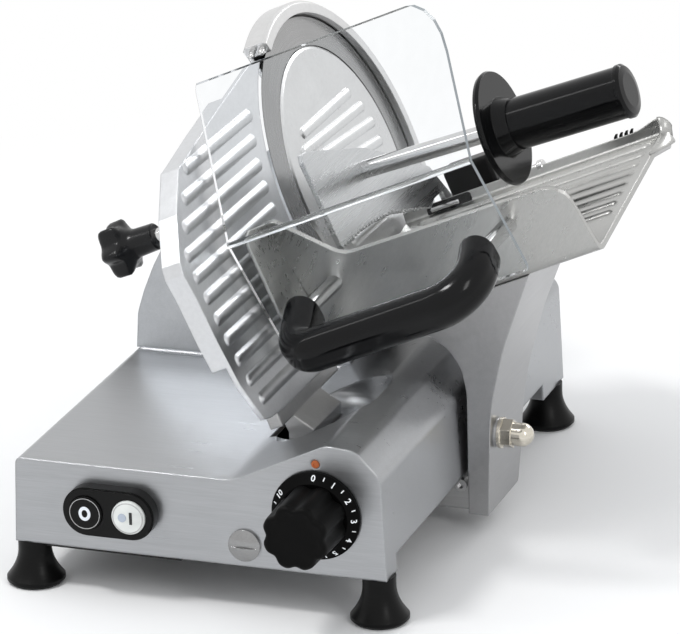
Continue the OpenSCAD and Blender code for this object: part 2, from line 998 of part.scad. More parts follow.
// Blade cover with raised ribs: start and end of each rib, as shares of the cover's radius
cover_t = 2.4;
cover_rib_w = 9;
cover_rib_h = 2.1;
cover_rib_shares = [
    [-0.56, 0.46, 0.59, 0.47],
    [-0.67, 0.34, 0.72, 0.31],
    [-0.39, 0.22, 0.79, 0.15],
    [-0.10, 0.06, 0.78, -0.01],
    [-0.30, -0.12, 0.76, -0.17],
    [-0.50, -0.30, 0.70, -0.33],
    [-0.50, -0.48, 0.58, -0.49]
];

module blade_cover() {
    back = -cover_seat + gap * 2;
    face = back + cover_t;
    color("whitesmoke")
    on_blade()
        union() {
            difference() {
                translate([0, 0, back]) rotate_extrude()
                    polygon([
                        [0, 0], [cover_r, 0], [cover_r, cover_t / 2], [cover_r - cover_t, cover_t], [0, cover_t]
                    ]);
                translate([0, 0, back - over]) cylinder(h = cover_t / 2 + over, r = rod_r + fit);
            }
            for (s = cover_rib_shares)
                let (a = [s[0], s[1]] * cover_r)
                let (b = [s[2], s[3]] * cover_r)
                translate([a[0], a[1], face])
                    rotate([0, 0, atan2(b[1] - a[1], b[0] - a[0])])
                        rotate([90, 0, 0])
                            rib(norm(b - a), cover_rib_w, cover_rib_h);
        }
}

module tie_rod() {
    color("silver")
    on_blade()
        translate([0, 0, -knob_hub_end])
            cylinder(h = knob_hub_end - cover_seat + 2 * gap + cover_t / 2, r = rod_r);
}

module star_knob() {
    color([0.1, 0.1, 0.1])
    on_blade()
        difference() {
            union() {
                intersection() {
                    out_from(-knob_end, knob_end - knob_hub_end + knob_round)
                        union() {
                            circle(r = knob_core_r);
                            for (i = [0:star_lobes - 1])
                                rotate(i * 360 / star_lobes)
                                    translate([knob_r - lobe_r, 0]) circle(r = lobe_r);
                        }
                    translate([0, 0, -knob_end]) rotate_extrude()
                        polygon(soften([
                            [0, 0],
                            [knob_r, 0],
                            [knob_r, knob_end - knob_hub_end + knob_round],
                            [0, knob_end - knob_hub_end + knob_round]
                        ], [0, knob_round, knob_round, 0]));
                }
                translate([0, 0, -knob_hub_end]) cylinder(h = knob_hub_end - knob_hub_start, r = knob_hub_r);
            }
            translate([0, 0, -knob_hub_end]) cylinder(h = knob_hub_end, r = rod_r + fit);
        }
}

// Dial on the front face
module dial_skirt() {
    color([0.1, 0.1, 0.1])
        translate([dial_x, -gap, dial_z]) rotate([90, 0, 0])
            rotate_extrude()
                polygon([
                    [dial_shaft_r + fit, 0],
                    [skirt_d / 2, 0],
                    [skirt_d / 2, skirt_t / 3],
                    [cap_d / 2, skirt_t],
                    [dial_shaft_r + fit, skirt_t]
                ]);
}

module dial_cap() {
    color([0.06, 0.06, 0.06])
    difference() {
        translate([dial_x, -gap - skirt_t, dial_z]) rotate([90, 0, 0])
            intersection() {
                linear_extrude(cap_h)
                    difference() {
                        circle(d = cap_d);
                        for (i = [0:cap_flutes - 1])
                            rotate(i * 360 / cap_flutes)
                                translate([cap_d / 2 + flute_r - flute_deep, 0]) circle(r = flute_r);
                    }
                rotate_extrude()
                    polygon(soften([
                        [0, 0],
                        [cap_d / 2, 0],
                        [cap_d / 2 - cap_round / 2, cap_h],
                        [0, cap_h]
                    ], [0, 0, cap_round, 0]));
            }
        rod_y(dial_x, dial_z, dial_shaft_r + fit, -gap - skirt_t - cap_h / 2, cap_h);
    }
}

// Spiral cam: it rises over the dial's turn, holds, and falls back
function cam_reach(a) =
    a <= cam_turn ? slice_max * a / cam_turn :
    a <= cam_turn + cam_hold ? slice_max :
    slice_max * max(0, cam_turn + cam_hold + cam_fall - a) / cam_fall;

module dial_shaft() {
    start = 180 + blade_tilt;
    front = skirt_t + cap_h / 2;
    color("gray")
    union() {
        rod_y(dial_x, dial_z, dial_shaft_r, -front, cam_y + cam_t + gap + front);
        translate([dial_x, 0, dial_z])
            along_y(cam_y, cam_t)
                polygon([
                    for (k = [0:71])
                        let (a = 5 * k)
                        (cam_r + cam_reach(a)) * [cos(start - a), sin(start - a)]
                ]);
    }
}

module gauge_rod() {
    color("lightgray") gauge_rod_hole(gauge_rod_r, -base_wall / 2);
}

// Support that carries the gauge plate through the dish to its slide rod and the cam
pin_reach = cam_r + pin_r + gap;
follower_x = dial_x - pin_reach * cos(blade_tilt);
follower_z = dial_z - pin_reach * sin(blade_tilt);

module gauge_support() {
    color("silver")
    difference() {
        union() {
            on_blade()
                translate([strip_y0 - blade_y, strip_low, -gauge_back - strip_t])
                    cube([strip_y1 - strip_y0, strip_high - strip_low, strip_t]);
            along_y(column_y0, column_y1 - column_y0)
                polygon([
                    [column_x, column_foot_z],
                    [column_x + column_w, column_foot_z],
                    [column_x + column_w, neck_z(-gauge_back, strip_low) - strip_t],
                    [neck_x(-gauge_back, strip_low), neck_z(-gauge_back, strip_low)],
                    [neck_x(-gauge_back - strip_t, strip_low), neck_z(-gauge_back - strip_t, strip_low)],
                    [column_x, neck_z(-gauge_back - strip_t, strip_low) - strip_t]
                ]);
            translate([column_x, column_y0, column_foot_z])
                cube([column_w, support_y1 - column_y0, column_foot_h - base_wall / 2]);
            along_y(cam_y + cam_t + over, follower_t)
                polygon([
                    [column_x, column_foot_z],
                    [follower_x, follower_z - pin_r],
                    [follower_x + pin_r, follower_z],
                    [follower_x, follower_z + pin_r],
                    [column_x, column_foot_z + column_foot_h / 2]
                ]);
            rod_y(follower_x, follower_z, pin_r, cam_y - over, cam_t + 2 * over + follower_t);
        }
        gauge_rod_hole(gauge_rod_r + fit, over);
    }
}

// Outline of the gauge plate, counter-clockwise from its upper right, as shares of its reach and its height
gauge_span = -gauge_left;
gauge_top_shares = [[0.171, 0.97], [0.251, 1], [0.621, 0.849]];
gauge_side_shares = [
    [0.765, 0.78], [0.807, 0.763], [0.911, 0.534], [0.991, 0.284], [1, 0.207],
    [0.991, 0.043], [0.985, -0.259], [0.969, -0.595], [0.927, -0.879], [0.893, -0.905]
];
gauge_low_shares = [0.798, 0.214];
gauge_side = [for (s = gauge_side_shares) [-s[0] * gauge_span, s[1] * gauge_top]];
gauge_outline = concat(
    [for (s = gauge_top_shares) [-s[0] * gauge_span, s[1] * gauge_top]],
    gauge_side,
    [for (s = gauge_low_shares) [-s * gauge_span, gauge_bottom]]
);
gauge_edge = [for (p = reversed(gauge_side)) [p[1], p[0] + rib_start_gap]];

module gauge_plate() {
    color("silver")
    on_blade()
        difference() {
            union() {
                out_from(-gauge_back, gauge_t) polygon(gauge_outline);
                out_from(-gauge_back - rim_back, rim_back)
                    intersection() {
                        difference() {
                            polygon(gauge_outline);
                            polygon(inset(gauge_outline, rim_t));
                        }
                        translate([-2 * gauge_span, gauge_bottom / 2])
                            square([2 * gauge_span - gauge_arc_r - rib_end_gap, 2 * gauge_span]);
                    }
                for (k = [-5:5])
                    let (v = k * gauge_pitch - rib_shift)
                    let (x0 = lookup(v, gauge_edge))
                    let (x1 = -sqrt(pow(gauge_arc_r + rib_end_gap, 2) - v * v))
                    translate([x0, v, -gauge_rise])
                        rotate([90, 0, 0])
                            rib(x1 - x0, rib_w, gauge_rise);
            }
            translate([0, 0, -gauge_back - over]) cylinder(h = gauge_back + 2 * over, r = gauge_arc_r);
        }
}

// Carriage
roller_x = base_w - bar_in;
roller_z = bar_z - bar_r - roller_r - fit;

module carriage_foot() {
    block_r = bush_r + base_wall - over / 2;
    top = carriage_z0 + plate_h;
    color("silver")
    difference() {
        union() {
            along_y(foot_y0, foot_l)
                polygon([
                    [plug_x - block_r - base_wall, carriage_z0],
                    [arm_x, carriage_z0],
                    [arm_x, top],
                    [plug_x + block_r + base_wall, top],
                    [plug_x + block_r, plug_z + bush_r + over],
                    [plug_x - block_r, plug_z + bush_r + over],
                    [plug_x - block_r - base_wall, top]
                ]);
            for (s = [-1, 1])
                translate([
                    roller_x + s * (roller_w / 2 + gap) - (s < 0 ? base_wall : 0),
                    foot_y0 + foot_l / 2 - roller_r / 2,
                    top - over
                ])
                    cube([base_wall, roller_r, roller_z + axle_r - top + 2 * over]);
        }
        rod_y(plug_x, plug_z, bush_r + fit, foot_y0 - over, foot_l + 2 * over);
        translate([
            roller_x - roller_w / 2 - gap,
            foot_y0 + foot_l / 2 - roller_r - over,
            roller_z - roller_r - over
        ])
            cube([roller_w + 2 * gap, 2 * (roller_r + over), 2 * roller_r]);
        translate([roller_x, foot_y0 + foot_l / 2, roller_z]) rotate([0, 90, 0])
            cylinder(h = roller_w + 4 * base_wall, r = axle_r + fit, center = true);
        rod_y(arm_x - lock_in, lock_z, lock_r / 2 + fit, foot_y0 - over, lock_out + over);
    }
}

module rod_bush(y) {
    color("peru")
    difference() {
        rod_y(plug_x, plug_z, bush_r, y, bush_l);
        rod_y(plug_x, plug_z, guide_r + fit, y - over, bush_l + 2 * over);
    }
}

module rod_bush_front() { rod_bush(foot_y0); }
module rod_bush_rear() { rod_bush(foot_y0 + foot_l - bush_l); }

module roller() {
    color("dimgray")
        translate([roller_x, foot_y0 + foot_l / 2, roller_z]) rotate([0, 90, 0]) {
            cylinder(h = roller_w, r = roller_r, center = true);
            cylinder(h = roller_w + 2 * base_wall, r = axle_r, center = true);
        }
}

// Arm: front outline by side outline, cut by the tray's underside
// Points as shares of how far the arm leans out, reaches in and goes back, and of its height over the deck
arm_outer_shares = [[0.307, -0.394], [0.321, -0.106], [0.362, 0.061], [0.523, 0.386], [0.893, 0.848], [1, 1]];
arm_inner_shares = [
    [0.938, 1], [1, 0.485], [0.531, 0.447], [0.214, 0.356], [0.067, 0.25], [0, 0.106], [0, -0.121]
];
arm_front = concat(
    [[arm_x, carriage_z0], [arm_x + arm_w, carriage_z0]],
    [for (s = arm_outer_shares) [arm_x + s[0] * arm_reach, deck_z + s[1] * arm_rise]],
    [for (s = arm_inner_shares) [arm_x - s[0] * arm_inner, deck_z + s[1] * arm_rise]]
);
arm_cuts = [
    arm_edge, arm_edge, arm_round, arm_round, arm_big_round, arm_big_round, 0, 0,
    0, 0, arm_inner_round, arm_inner_round, arm_round, arm_round, arm_round
];
arm_side_shares = [[0.656, -0.432], [0.68, -0.227], [0.787, 0.106], [0.91, 0.606], [1, 1]];
arm_foot_share = 0.607;
arm_side = concat(
    [[arm_y, carriage_z0], [arm_y + arm_foot_share * arm_d, carriage_z0]],
    [for (s = arm_side_shares) [arm_y + s[0] * arm_d, deck_z + s[1] * arm_rise]],
    [[arm_y, deck_z + arm_rise]]
);
arm_side_cuts = [arm_edge, arm_round, arm_round, arm_round, arm_big_round, arm_big_round, 0, 0];

module under_tray() {
    on_blade()
        translate([tray_y, tray_v, 0])
            rotate([0, 0, floor_rise])
                translate([-base_w, -tray_t / 2, -base_w]) cube([2 * base_w, base_w, 3 * base_w]);
}

module support_arm() {
    color("silver")
    difference() {
        union() {
            intersection() {
                along_y(arm_y, base_d) polygon(soften(arm_front, arm_cuts));
                along_x(0, 2 * base_w) polygon(soften(arm_side, arm_side_cuts));
            }
            translate([arm_x + arm_w - over, nut_y, nut_z]) rotate([0, 90, 0])
                cylinder(h = nut_boss_l + over, r = nut_boss_r);
        }
        under_tray();
        translate([arm_x + over, nut_y, nut_z]) rotate([0, 90, 0])
            cylinder(h = 2 * arm_w, r = stud_r + fit);
    }
}

module arm_nut() {
    face = arm_x + arm_w + nut_boss_l;
    ball = nut_flat / 2 - over;
    color("lightgray")
        translate([0, nut_y, nut_z]) rotate([0, 90, 0]) {
            translate([0, 0, face]) cylinder(h = washer_t, r = washer_r);
            intersection() {
                translate([0, 0, face + washer_t]) cylinder(h = nut_l / 2, d = nut_flat / cos(30), $fn = 6);
                translate([0, 0, face - nut_l])
                    cylinder(h = 2 * nut_l, d1 = 3 * nut_flat, d2 = nut_flat - over);
            }
            translate([0, 0, face + washer_t + nut_l / 2 - over]) cylinder(h = nut_l - ball + over, r = ball);
            translate([0, 0, face + washer_t + nut_l * 1.5 - ball]) sphere(r = ball);
            translate([0, 0, arm_x + 2 * over]) cylinder(h = face - arm_x, r = stud_r);
        }
}

module lock_screw() {
    x = arm_x - lock_in;
    color("lightgray")
    difference() {
        union() {
            rod_y(x, lock_z, lock_r, foot_y0 - lock_head, lock_head);
            rod_y(x, lock_z, lock_r / 2, foot_y0 - over, lock_out);
        }
        rod_y(x, lock_z, lock_r / 2, foot_y0 - lock_head - over, lock_head / 2 + over);
    }
}

// Tray: near wall, sloping floor and rear edge
wall_outline = [
    [-floor_l, tray_n0],
    [ear_h, tray_n0],
    [ear_h, tray_n0 + ear_w],
    [tray_wall_h, tray_n0 + ear_foot],
    [tray_wall_h - wall_end_drop, tray_n1],
    [-floor_l, tray_n1]
];
wall_cuts = [0, ear_round, ear_round, ear_foot_round, wall_corner, 0];
// Cross-section of the tray from beyond the top of its near wall to its rear edge
tray_line = [
    [-2 * ear_h * sin(wall_lean), 2 * ear_h * cos(wall_lean)],
    [0, 0],
    [floor_l * cos(floor_rise), floor_l * sin(floor_rise)],
    [
        (floor_l + upstand_w) * cos(floor_rise) - upstand_h * sin(floor_rise),
        (floor_l + upstand_w) * sin(floor_rise) + upstand_h * cos(floor_rise)
    ]
];

module tray() {
    color("gainsboro")
    on_blade()
        translate([tray_y, tray_v, 0]) {
            intersection() {
                out_from(tray_n0 - over, tray_l + 2 * over)
                    polygon(strip(soften(tray_line, [0, tray_bend, tray_small_bend, 0]), tray_t));
                rotate([0, 0, wall_lean])
                    translate([-tray_t, 0, 0])
                        rotate([90, 0, 90])
                            linear_extrude(2 * floor_l) polygon(soften(wall_outline, wall_cuts));
            }
            rotate([0, 0, floor_rise])
                for (i = [0:tray_ribs - 1])
                    translate([rib_first + i * floor_rib_pitch, tray_t / 2, tray_n0 + floor_rib_start])
                        rotate([0, -90, 0])
                            rib(tray_l - floor_rib_start - floor_rib_end, floor_rib_w, floor_rib_h);
        }
}

// Space behind the near wall's outer side
module behind_wall() {
    on_blade()
        translate([tray_y, tray_v, 0])
            rotate([0, 0, wall_lean])
                translate([-tray_t / 2, -base_w, -base_w]) cube([base_w, 3 * base_w, 3 * base_w]);
}

guard_line = [
    [guard_low_y, guard_low_v],
    [guard_bend_y, guard_bend_v],
    [guard_top_y, guard_top_v]
];

// Space on the operator's side (or the far side) of a face d out from the middle of the guard's lower part
module sheet_space(d, front) {
    u = unit(guard_line[1] - guard_line[0]);
    on_blade()
        translate([guard_low_y, guard_low_v, 0])
            rotate([0, 0, atan2(u[1], u[0])])
                translate([-base_d, front ? d : d - base_d, -base_d]) cube([2 * base_d, base_d, 3 * base_d]);
}

module post_stud(i, r) {
    on_blade() translate([handle_y + handle_reach, post_v[i], post_n[i]]) rotate([0, 90, 0])
        cylinder(h = (tray_y - handle_y) / 2, r = r);
}

module post(i) {
    color("lightgray")
    union() {
        difference() {
            on_blade() translate([handle_y, post_v[i], post_n[i]]) rotate([0, 90, 0])
                cylinder(h = tray_y - handle_y, r = post_r);
            sheet_space(-guard_t / 2, true);
            behind_wall();
        }
        post_stud(i, guard_stud_r);
    }
}

module post_left() { post(0); }
module post_right() { post(1); }

module hand_guard() {
    n1 = guard_n0 + guard_w;
    color([0.8, 0.9, 0.95, 0.4])
    difference() {
        on_blade()
            intersection() {
                out_from(guard_n0, guard_w) polygon(strip(guard_line, guard_t));
                translate([-base_d, 0, 0]) rotate([90, 0, 90])
                    linear_extrude(base_d)
                        polygon(soften([
                            [guard_low_v - guard_t, guard_n0],
                            [guard_top_v + guard_t, guard_n0],
                            [guard_top_v + guard_t, n1],
                            [guard_low_v - guard_t, n1]
                        ], [guard_small_corner, guard_small_corner, guard_corner, guard_small_corner]));
            }
        for (i = [0, 1])
            post_stud(i, guard_stud_r + fit);
    }
}

// Handle laid flat: bar along x, legs along y
module handle_flat() {
    x0 = post_n[0];
    x1 = post_n[1];
    a = handle_bend_left;
    b = handle_bend_right;
    translate([x0 + a, 0, 0]) rotate([90, 0, 90]) linear_extrude(x1 - x0 - a - b) handle_section();
    translate([x0 + a, a, 0]) rotate([0, 0, 180]) rotate_extrude(angle = 90) translate([a, 0]) handle_section();
    translate([x1 - b, b, 0]) rotate([0, 0, 270]) rotate_extrude(angle = 90) translate([b, 0]) handle_section();
    translate([x0, a, 0]) rotate([-90, 0, 0]) linear_extrude(handle_leg - a) handle_section();
    translate([x1, b, 0]) rotate([-90, 0, 0]) linear_extrude(handle_leg - b) handle_section();
}

module handle_section() {
    rotate(90) stadium(handle_w, handle_t);
}

module carriage_handle() {
    color([0.08, 0.08, 0.08])
    difference() {
        on_blade()
            translate([handle_y, handle_v, 0])
                rotate([0, 0, handle_tilt])
                    rotate([90, 0, 90]) rotate([90, 0, 90])
                        handle_flat();
        sheet_space(guard_t / 2, false);
        for (i = [0, 1])
            post_stud(i, guard_stud_r + fit);
    }
}

// Pusher on its rod behind the tray
function floor_point(s, h) = [
    tray_y + s * cos(floor_rise) - h * sin(floor_rise),
    tray_v + s * sin(floor_rise) + h * cos(floor_rise)
];

module pusher_rod() {
    color("lightgray")
    on_blade()
        translate([rod_y, rod_v, pusher_rod_n0]) cylinder(h = pusher_rod_n1 - pusher_rod_n0, r = pusher_rod_r);
}

module rod_bracket(n) {
    color("silver")
    on_blade()
        out_from(n, holder_t)
            difference() {
                union() {
                    translate([rod_y, rod_v]) circle(r = holder_r);
                    polygon([
                        floor_point(floor_l - 3 * holder_r, -tray_t / 2),
                        floor_point(floor_l - 3 * holder_r, -tray_t),
                        [rod_y, rod_v - holder_r],
                        [rod_y, rod_v + holder_r],
                        floor_point(floor_l + tray_t / 2, -tray_t / 2)
                    ]);
                }
                translate([rod_y, rod_v]) circle(r = pusher_rod_r + fit);
            }
}

module rod_bracket_left() { rod_bracket(holder_n[0]); }
module rod_bracket_right() { rod_bracket(holder_n[1]); }

module pusher_sleeve() {
    color("gray")
    on_blade()
        translate([rod_y, rod_v, sleeve_n0])
            difference() {
                union() {
                    cylinder(h = sleeve_n1 - sleeve_n0, r = sleeve_r);
                    cylinder(h = collar_t, r = collar_r);
                    translate([0, 0, sleeve_n1 - sleeve_n0 - collar_t]) cylinder(h = collar_t, r = collar_r);
                }
                translate([0, 0, -over]) cylinder(h = sleeve_n1 - sleeve_n0 + 2 * over, r = pusher_rod_r + fit);
            }
}

// Pusher plate: its toothed lower edge and its top, as shares of its length and height, and its arm to the boss
plate_low_shares = [
    [-1, -0.5625], [-0.724, -0.5625], [-0.545, -0.604], [-0.308, -0.708], [-0.051, -0.9375], [0, -1]
];
plate_top_shares = [[0.064, -0.167], [-0.327, 0.417], [-0.936, 1], [-0.994, 1], [-1.013, 0.875]];
plate_arm_shares = [[-1, 0.381], [-0.739, 0.476], [-0.304, 0.476], [-0.283, 0.238]];
plate_arm_top_share = -0.391;
plate_teeth = floor(pusher_plate_l / tooth_pitch);
pusher_boss_n0 = sleeve_n0 + collar_t + gap;
pusher_boss_l = sleeve_n1 - sleeve_n0 - 2 * (collar_t + gap);

module pusher_boss() {
    color("whitesmoke")
    on_blade()
        translate([rod_y, rod_v, pusher_boss_n0])
            difference() {
                cylinder(h = pusher_boss_l, r = pusher_boss_r);
                translate([0, 0, -over]) cylinder(h = pusher_boss_l + 2 * over, r = sleeve_r + fit);
            }
}

module pusher_plate() {
    size = [pusher_plate_l, pusher_plate_h];
    low = [for (s = plate_low_shares) [s[0] * size[0], s[1] * size[1]]];
    teeth = [
        for (k = [0:2 * plate_teeth])
            let (x = low[0][0] + k * tooth_pitch / 2)
            [x, lookup(x, low) - (k % 2) * tooth_h]
    ];
    color("whitesmoke")
    on_blade()
        out_from(pusher_boss_n0, pusher_t)
            difference() {
                polygon(concat(
                    teeth,
                    [for (s = plate_arm_shares) [rod_y + s[0] * plate_arm_l, rod_v + s[1] * plate_arm_h]],
                    [
                        [rod_y, rod_v],
                        [rod_y, rod_v + pusher_boss_r],
                        [rod_y + plate_arm_top_share * plate_arm_l, rod_v + plate_arm_h]
                    ],
                    [for (s = plate_top_shares) [s[0] * size[0], s[1] * size[1]]]
                ));
                translate([rod_y, rod_v]) circle(r = pusher_boss_r + fit);
            }
}

module on_tube(n) {
    on_blade()
        translate([tube_y, tube_v, pusher_n + pusher_t])
            rotate([tube_droop, 0, 0])
                translate([0, 0, n]) children();
}

module pusher_tube() {
    color("lightgray")
    intersection() {
        on_tube(-tube_r) cylinder(h = tube_l + tube_r, r = tube_r);
        on_blade() translate([tube_y, 0, pusher_n + pusher_t]) cylinder(h = 2 * tube_l, r = disc_d);
    }
}

module pusher_disc() {
    color([0.08, 0.08, 0.08])
    on_tube(tube_l - disc_t)
        rotate_extrude()
            polygon([
                [tube_r + fit, 0],
                [disc_d / 2 - over, 0],
                [disc_d / 2, disc_t / 2],
                [disc_d / 2 - over, disc_t],
                [disc_hub_r, disc_t],
                [grip_d / 2, disc_t + disc_hub_l],
                [0, disc_t + disc_hub_l],
                [0, disc_t],
                [tube_r + fit, disc_t]
            ]);
}

module pusher_grip() {
    color([0.06, 0.06, 0.06])
    on_tube(tube_l + disc_hub_l)
        cylinder(h = grip_l - disc_hub_l, d = grip_d);
}

module grip_cap() {
    color([0.1, 0.1, 0.1])
    on_tube(tube_l + grip_l)
        rotate_extrude()
            polygon([
                [0, 0],
                [grip_d / 2 + over, 0],
                [grip_d / 2 + over, cap_t / 2],
                [grip_d / 2 - over, cap_t - over],
                [grip_d / 3, cap_t],
                [0, cap_t]
            ]);
}

at_origin() base_housing();
at_origin() bottom_cover();
at_origin() foot_front_left();
at_origin() foot_front_right();
at_origin() foot_rear_left();
at_origin() foot_rear_right();
at_origin() switch_bezel();
at_origin() switch_block();
at_origin() stop_button();
at_origin() start_button();
at_origin() pilot_lens();
at_origin() rod_plug();
at_origin() guide_rod();
at_origin() guide_bar();
at_origin() cord_gland();
at_origin() index_mark();
at_origin() motor_housing();
at_origin() ring_guard();
at_origin() ring_pins();
at_origin() motor();
at_origin() motor_bracket();
at_origin() motor_shaft();
at_origin() drive_belt();
at_origin() bearing_front();
at_origin() bearing_rear();
at_origin() blade_hub();
at_origin() blade();
at_origin() blade_cover();
at_origin() tie_rod();
at_origin() star_knob();
at_origin() dial_skirt();
at_origin() dial_cap();
at_origin() dial_shaft();
at_origin() gauge_rod();
at_origin() gauge_support();
at_origin() gauge_plate();
at_origin() carriage_foot();
at_origin() rod_bush_front();
at_origin() rod_bush_rear();
at_origin() roller();
at_origin() support_arm();
at_origin() arm_nut();
at_origin() lock_screw();
at_origin() tray();
at_origin() post_left();
at_origin() post_right();
at_origin() hand_guard();
at_origin() carriage_handle();
at_origin() pusher_rod();
at_origin() rod_bracket_left();
at_origin() rod_bracket_right();
at_origin() pusher_sleeve();
at_origin() pusher_boss();
at_origin() pusher_plate();
at_origin() pusher_tube();
at_origin() pusher_disc();
at_origin() pusher_grip();
at_origin() grip_cap();
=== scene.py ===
"""Studio picture of a countertop gravity slicer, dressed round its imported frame.

Metres, +Z up, in the CAD's own frame. The places of small pieces are in millimetres, from the base's front
left corner (place) or in the blade's frame (on_blade), as in the part's source.
"""

import json
import math

import bmesh
import bpy
from mathutils import Matrix, Vector


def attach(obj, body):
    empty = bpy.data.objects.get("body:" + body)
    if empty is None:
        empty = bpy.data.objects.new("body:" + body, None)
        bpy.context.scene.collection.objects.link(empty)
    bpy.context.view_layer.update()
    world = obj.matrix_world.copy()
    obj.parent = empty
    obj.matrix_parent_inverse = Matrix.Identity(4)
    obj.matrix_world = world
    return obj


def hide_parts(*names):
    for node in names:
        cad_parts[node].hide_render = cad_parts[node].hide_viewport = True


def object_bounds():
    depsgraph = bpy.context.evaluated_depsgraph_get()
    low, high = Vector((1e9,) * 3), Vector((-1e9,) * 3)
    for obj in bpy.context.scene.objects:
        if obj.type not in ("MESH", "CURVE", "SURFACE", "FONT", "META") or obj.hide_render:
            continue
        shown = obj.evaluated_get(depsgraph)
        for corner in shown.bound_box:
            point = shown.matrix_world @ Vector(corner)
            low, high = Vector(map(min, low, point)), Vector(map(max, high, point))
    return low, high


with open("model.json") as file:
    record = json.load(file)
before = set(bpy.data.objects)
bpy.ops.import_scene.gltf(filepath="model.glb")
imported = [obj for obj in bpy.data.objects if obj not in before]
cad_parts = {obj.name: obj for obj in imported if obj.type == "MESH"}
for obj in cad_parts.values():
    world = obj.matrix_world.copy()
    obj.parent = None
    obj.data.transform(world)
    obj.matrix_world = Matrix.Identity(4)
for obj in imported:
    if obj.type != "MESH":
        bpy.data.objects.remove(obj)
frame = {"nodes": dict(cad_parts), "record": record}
cad_box = [list(c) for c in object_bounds()]

scene = bpy.context.scene
MM = 0.001
ORIGIN_X, ORIGIN_Y = 169.7, 213.8  # the frame's origin, from the base's front left corner
CORNER = Vector((ORIGIN_X, ORIGIN_Y, 0.0))

# ---------------------------------------------------------------- camera
# Fitted to the photograph.

PICTURE = (680, 634)
FOCAL_PX = 5000.09
YAW, PITCH, ROLL = 0.346365, 0.345702, -0.026338
CAMERA_PLACE = Vector((1402.674 - ORIGIN_X, -3162.654 - ORIGIN_Y, 1448.556)) * MM
SENSOR = 36.0
CLIP = (0.1, 50)


def make_camera():
    forward = Vector((-math.sin(YAW) * math.cos(PITCH), math.cos(YAW) * math.cos(PITCH), -math.sin(PITCH)))
    level = Vector((math.cos(YAW), math.sin(YAW), 0))
    over = level.cross(forward)
    right = math.cos(ROLL) * level + math.sin(ROLL) * over
    up = -math.sin(ROLL) * level + math.cos(ROLL) * over
    data = bpy.data.cameras.new("camera")
    data.sensor_width = SENSOR
    data.lens = FOCAL_PX / PICTURE[0] * SENSOR
    data.clip_start, data.clip_end = CLIP
    cam = bpy.data.objects.new("camera", data)
    turn = Matrix((right, up, -forward)).transposed()
    cam.matrix_world = Matrix.Translation(CAMERA_PLACE) @ turn.to_4x4()
    scene.collection.objects.link(cam)
    scene.camera = cam


# ---------------------------------------------------------------- node helpers

NOISE_SPAN = (0.3, 0.7)  # noise values between which a tone swings from end to end


class Nodes:
    """Short way to build a node tree: n(type, inputs..., properties...)."""

    def __init__(self, tree):
        self.tree = tree
        tree.nodes.clear()

    def __call__(self, kind, inputs=None, **props):
        node = self.tree.nodes.new("ShaderNode" + kind)
        for key, value in props.items():
            setattr(node, key, value)
        for key, value in (inputs or {}).items():
            socket = node.inputs[key]
            if isinstance(value, bpy.types.NodeSocket):
                self.tree.links.new(value, socket)
            else:
                socket.default_value = value
        return node

    def math(self, operation, a, b=0.0):
        return self("Math", {0: a, 1: b}, operation=operation).outputs[0]

    def product(self, first, *others):
        for other in others:
            first = self.math("MULTIPLY", first, other)
        return first

    def ramp(self, factor, low, high, out_low, out_high):
        return self(
            "MapRange",
            {"Value": factor, "From Min": low, "From Max": high, "To Min": out_low, "To Max": out_high},
        ).outputs["Result"]

    def swing(self, noise, middle, spread):
        """A noise as a value that swings about a middle."""
        return self.ramp(noise, *NOISE_SPAN, middle - spread, middle + spread)

    def noise(self, vector, scale, detail=3.0, rough=0.5):
        inputs = {"Vector": vector, "Scale": scale, "Detail": detail, "Roughness": rough}
        return self("TexNoise", inputs).outputs["Fac"]

    def stretched(self, vector, scale):
        return self("Mapping", {"Vector": vector, "Scale": scale}).outputs["Vector"]

    def scaled(self, colour, factor):
        return self("VectorMath", {0: colour[:3], "Scale": factor}, operation="SCALE").outputs[0]

    def seen(self):
        """1 for the rays that show the background: the camera's, and those through glass and off gloss."""
        path = self("LightPath")
        direct = self.math("MAXIMUM", path.outputs["Is Camera Ray"], path.outputs["Is Transmission Ray"])
        return self.math("MAXIMUM", direct, path.outputs["Is Glossy Ray"])

    def finish(self, shader):
        self("OutputMaterial", {"Surface": shader})


def grey(v):
    return (v, v, v, 1.0)


WHITE = grey(1.0)


def new_material(name):
    mat = bpy.data.materials.new(name)
    mat.use_nodes = True
    return mat, Nodes(mat.node_tree)


# ---------------------------------------------------------------- materials
# Noise scales are per metre, reliefs in millimetres, the radii of softened edges in metres.

BEVEL_SAMPLES = 6
STREAK_SHARE = 0.12  # noise scale of the long streaks beside that of the hair lines
BAND_SHARE = 0.15  # the same for the bands beside turned lines
CLOUD_SCALES = {"brushed": 11.0, "turned": 16.0, "moulded": 35.0}
STREAK_SPREAD, CLOUD_SPREAD = 0.8, 0.6  # how far streaks and clouds change a brushed tone beside hair lines
TURNED_LINES, TURNED_RELIEF = 2200.0, 0.004


def bumped(n, height, relief, edge):
    """Normal with a fine relief and, where edge is given, softened edges."""
    inputs = {"Height": height, "Strength": 1.0, "Distance": relief * MM}
    if edge:
        inputs["Normal"] = n("Bevel", {"Radius": edge}, samples=BEVEL_SAMPLES).outputs[0]
    return n("Bump", inputs).outputs[0]


def as_metal(mat, n, base, rough, normal):
    shader = n("BsdfPrincipled", {"Base Color": base, "Metallic": 1.0, "Roughness": rough, "Normal": normal})
    n.finish(shader.outputs[0])
    return mat


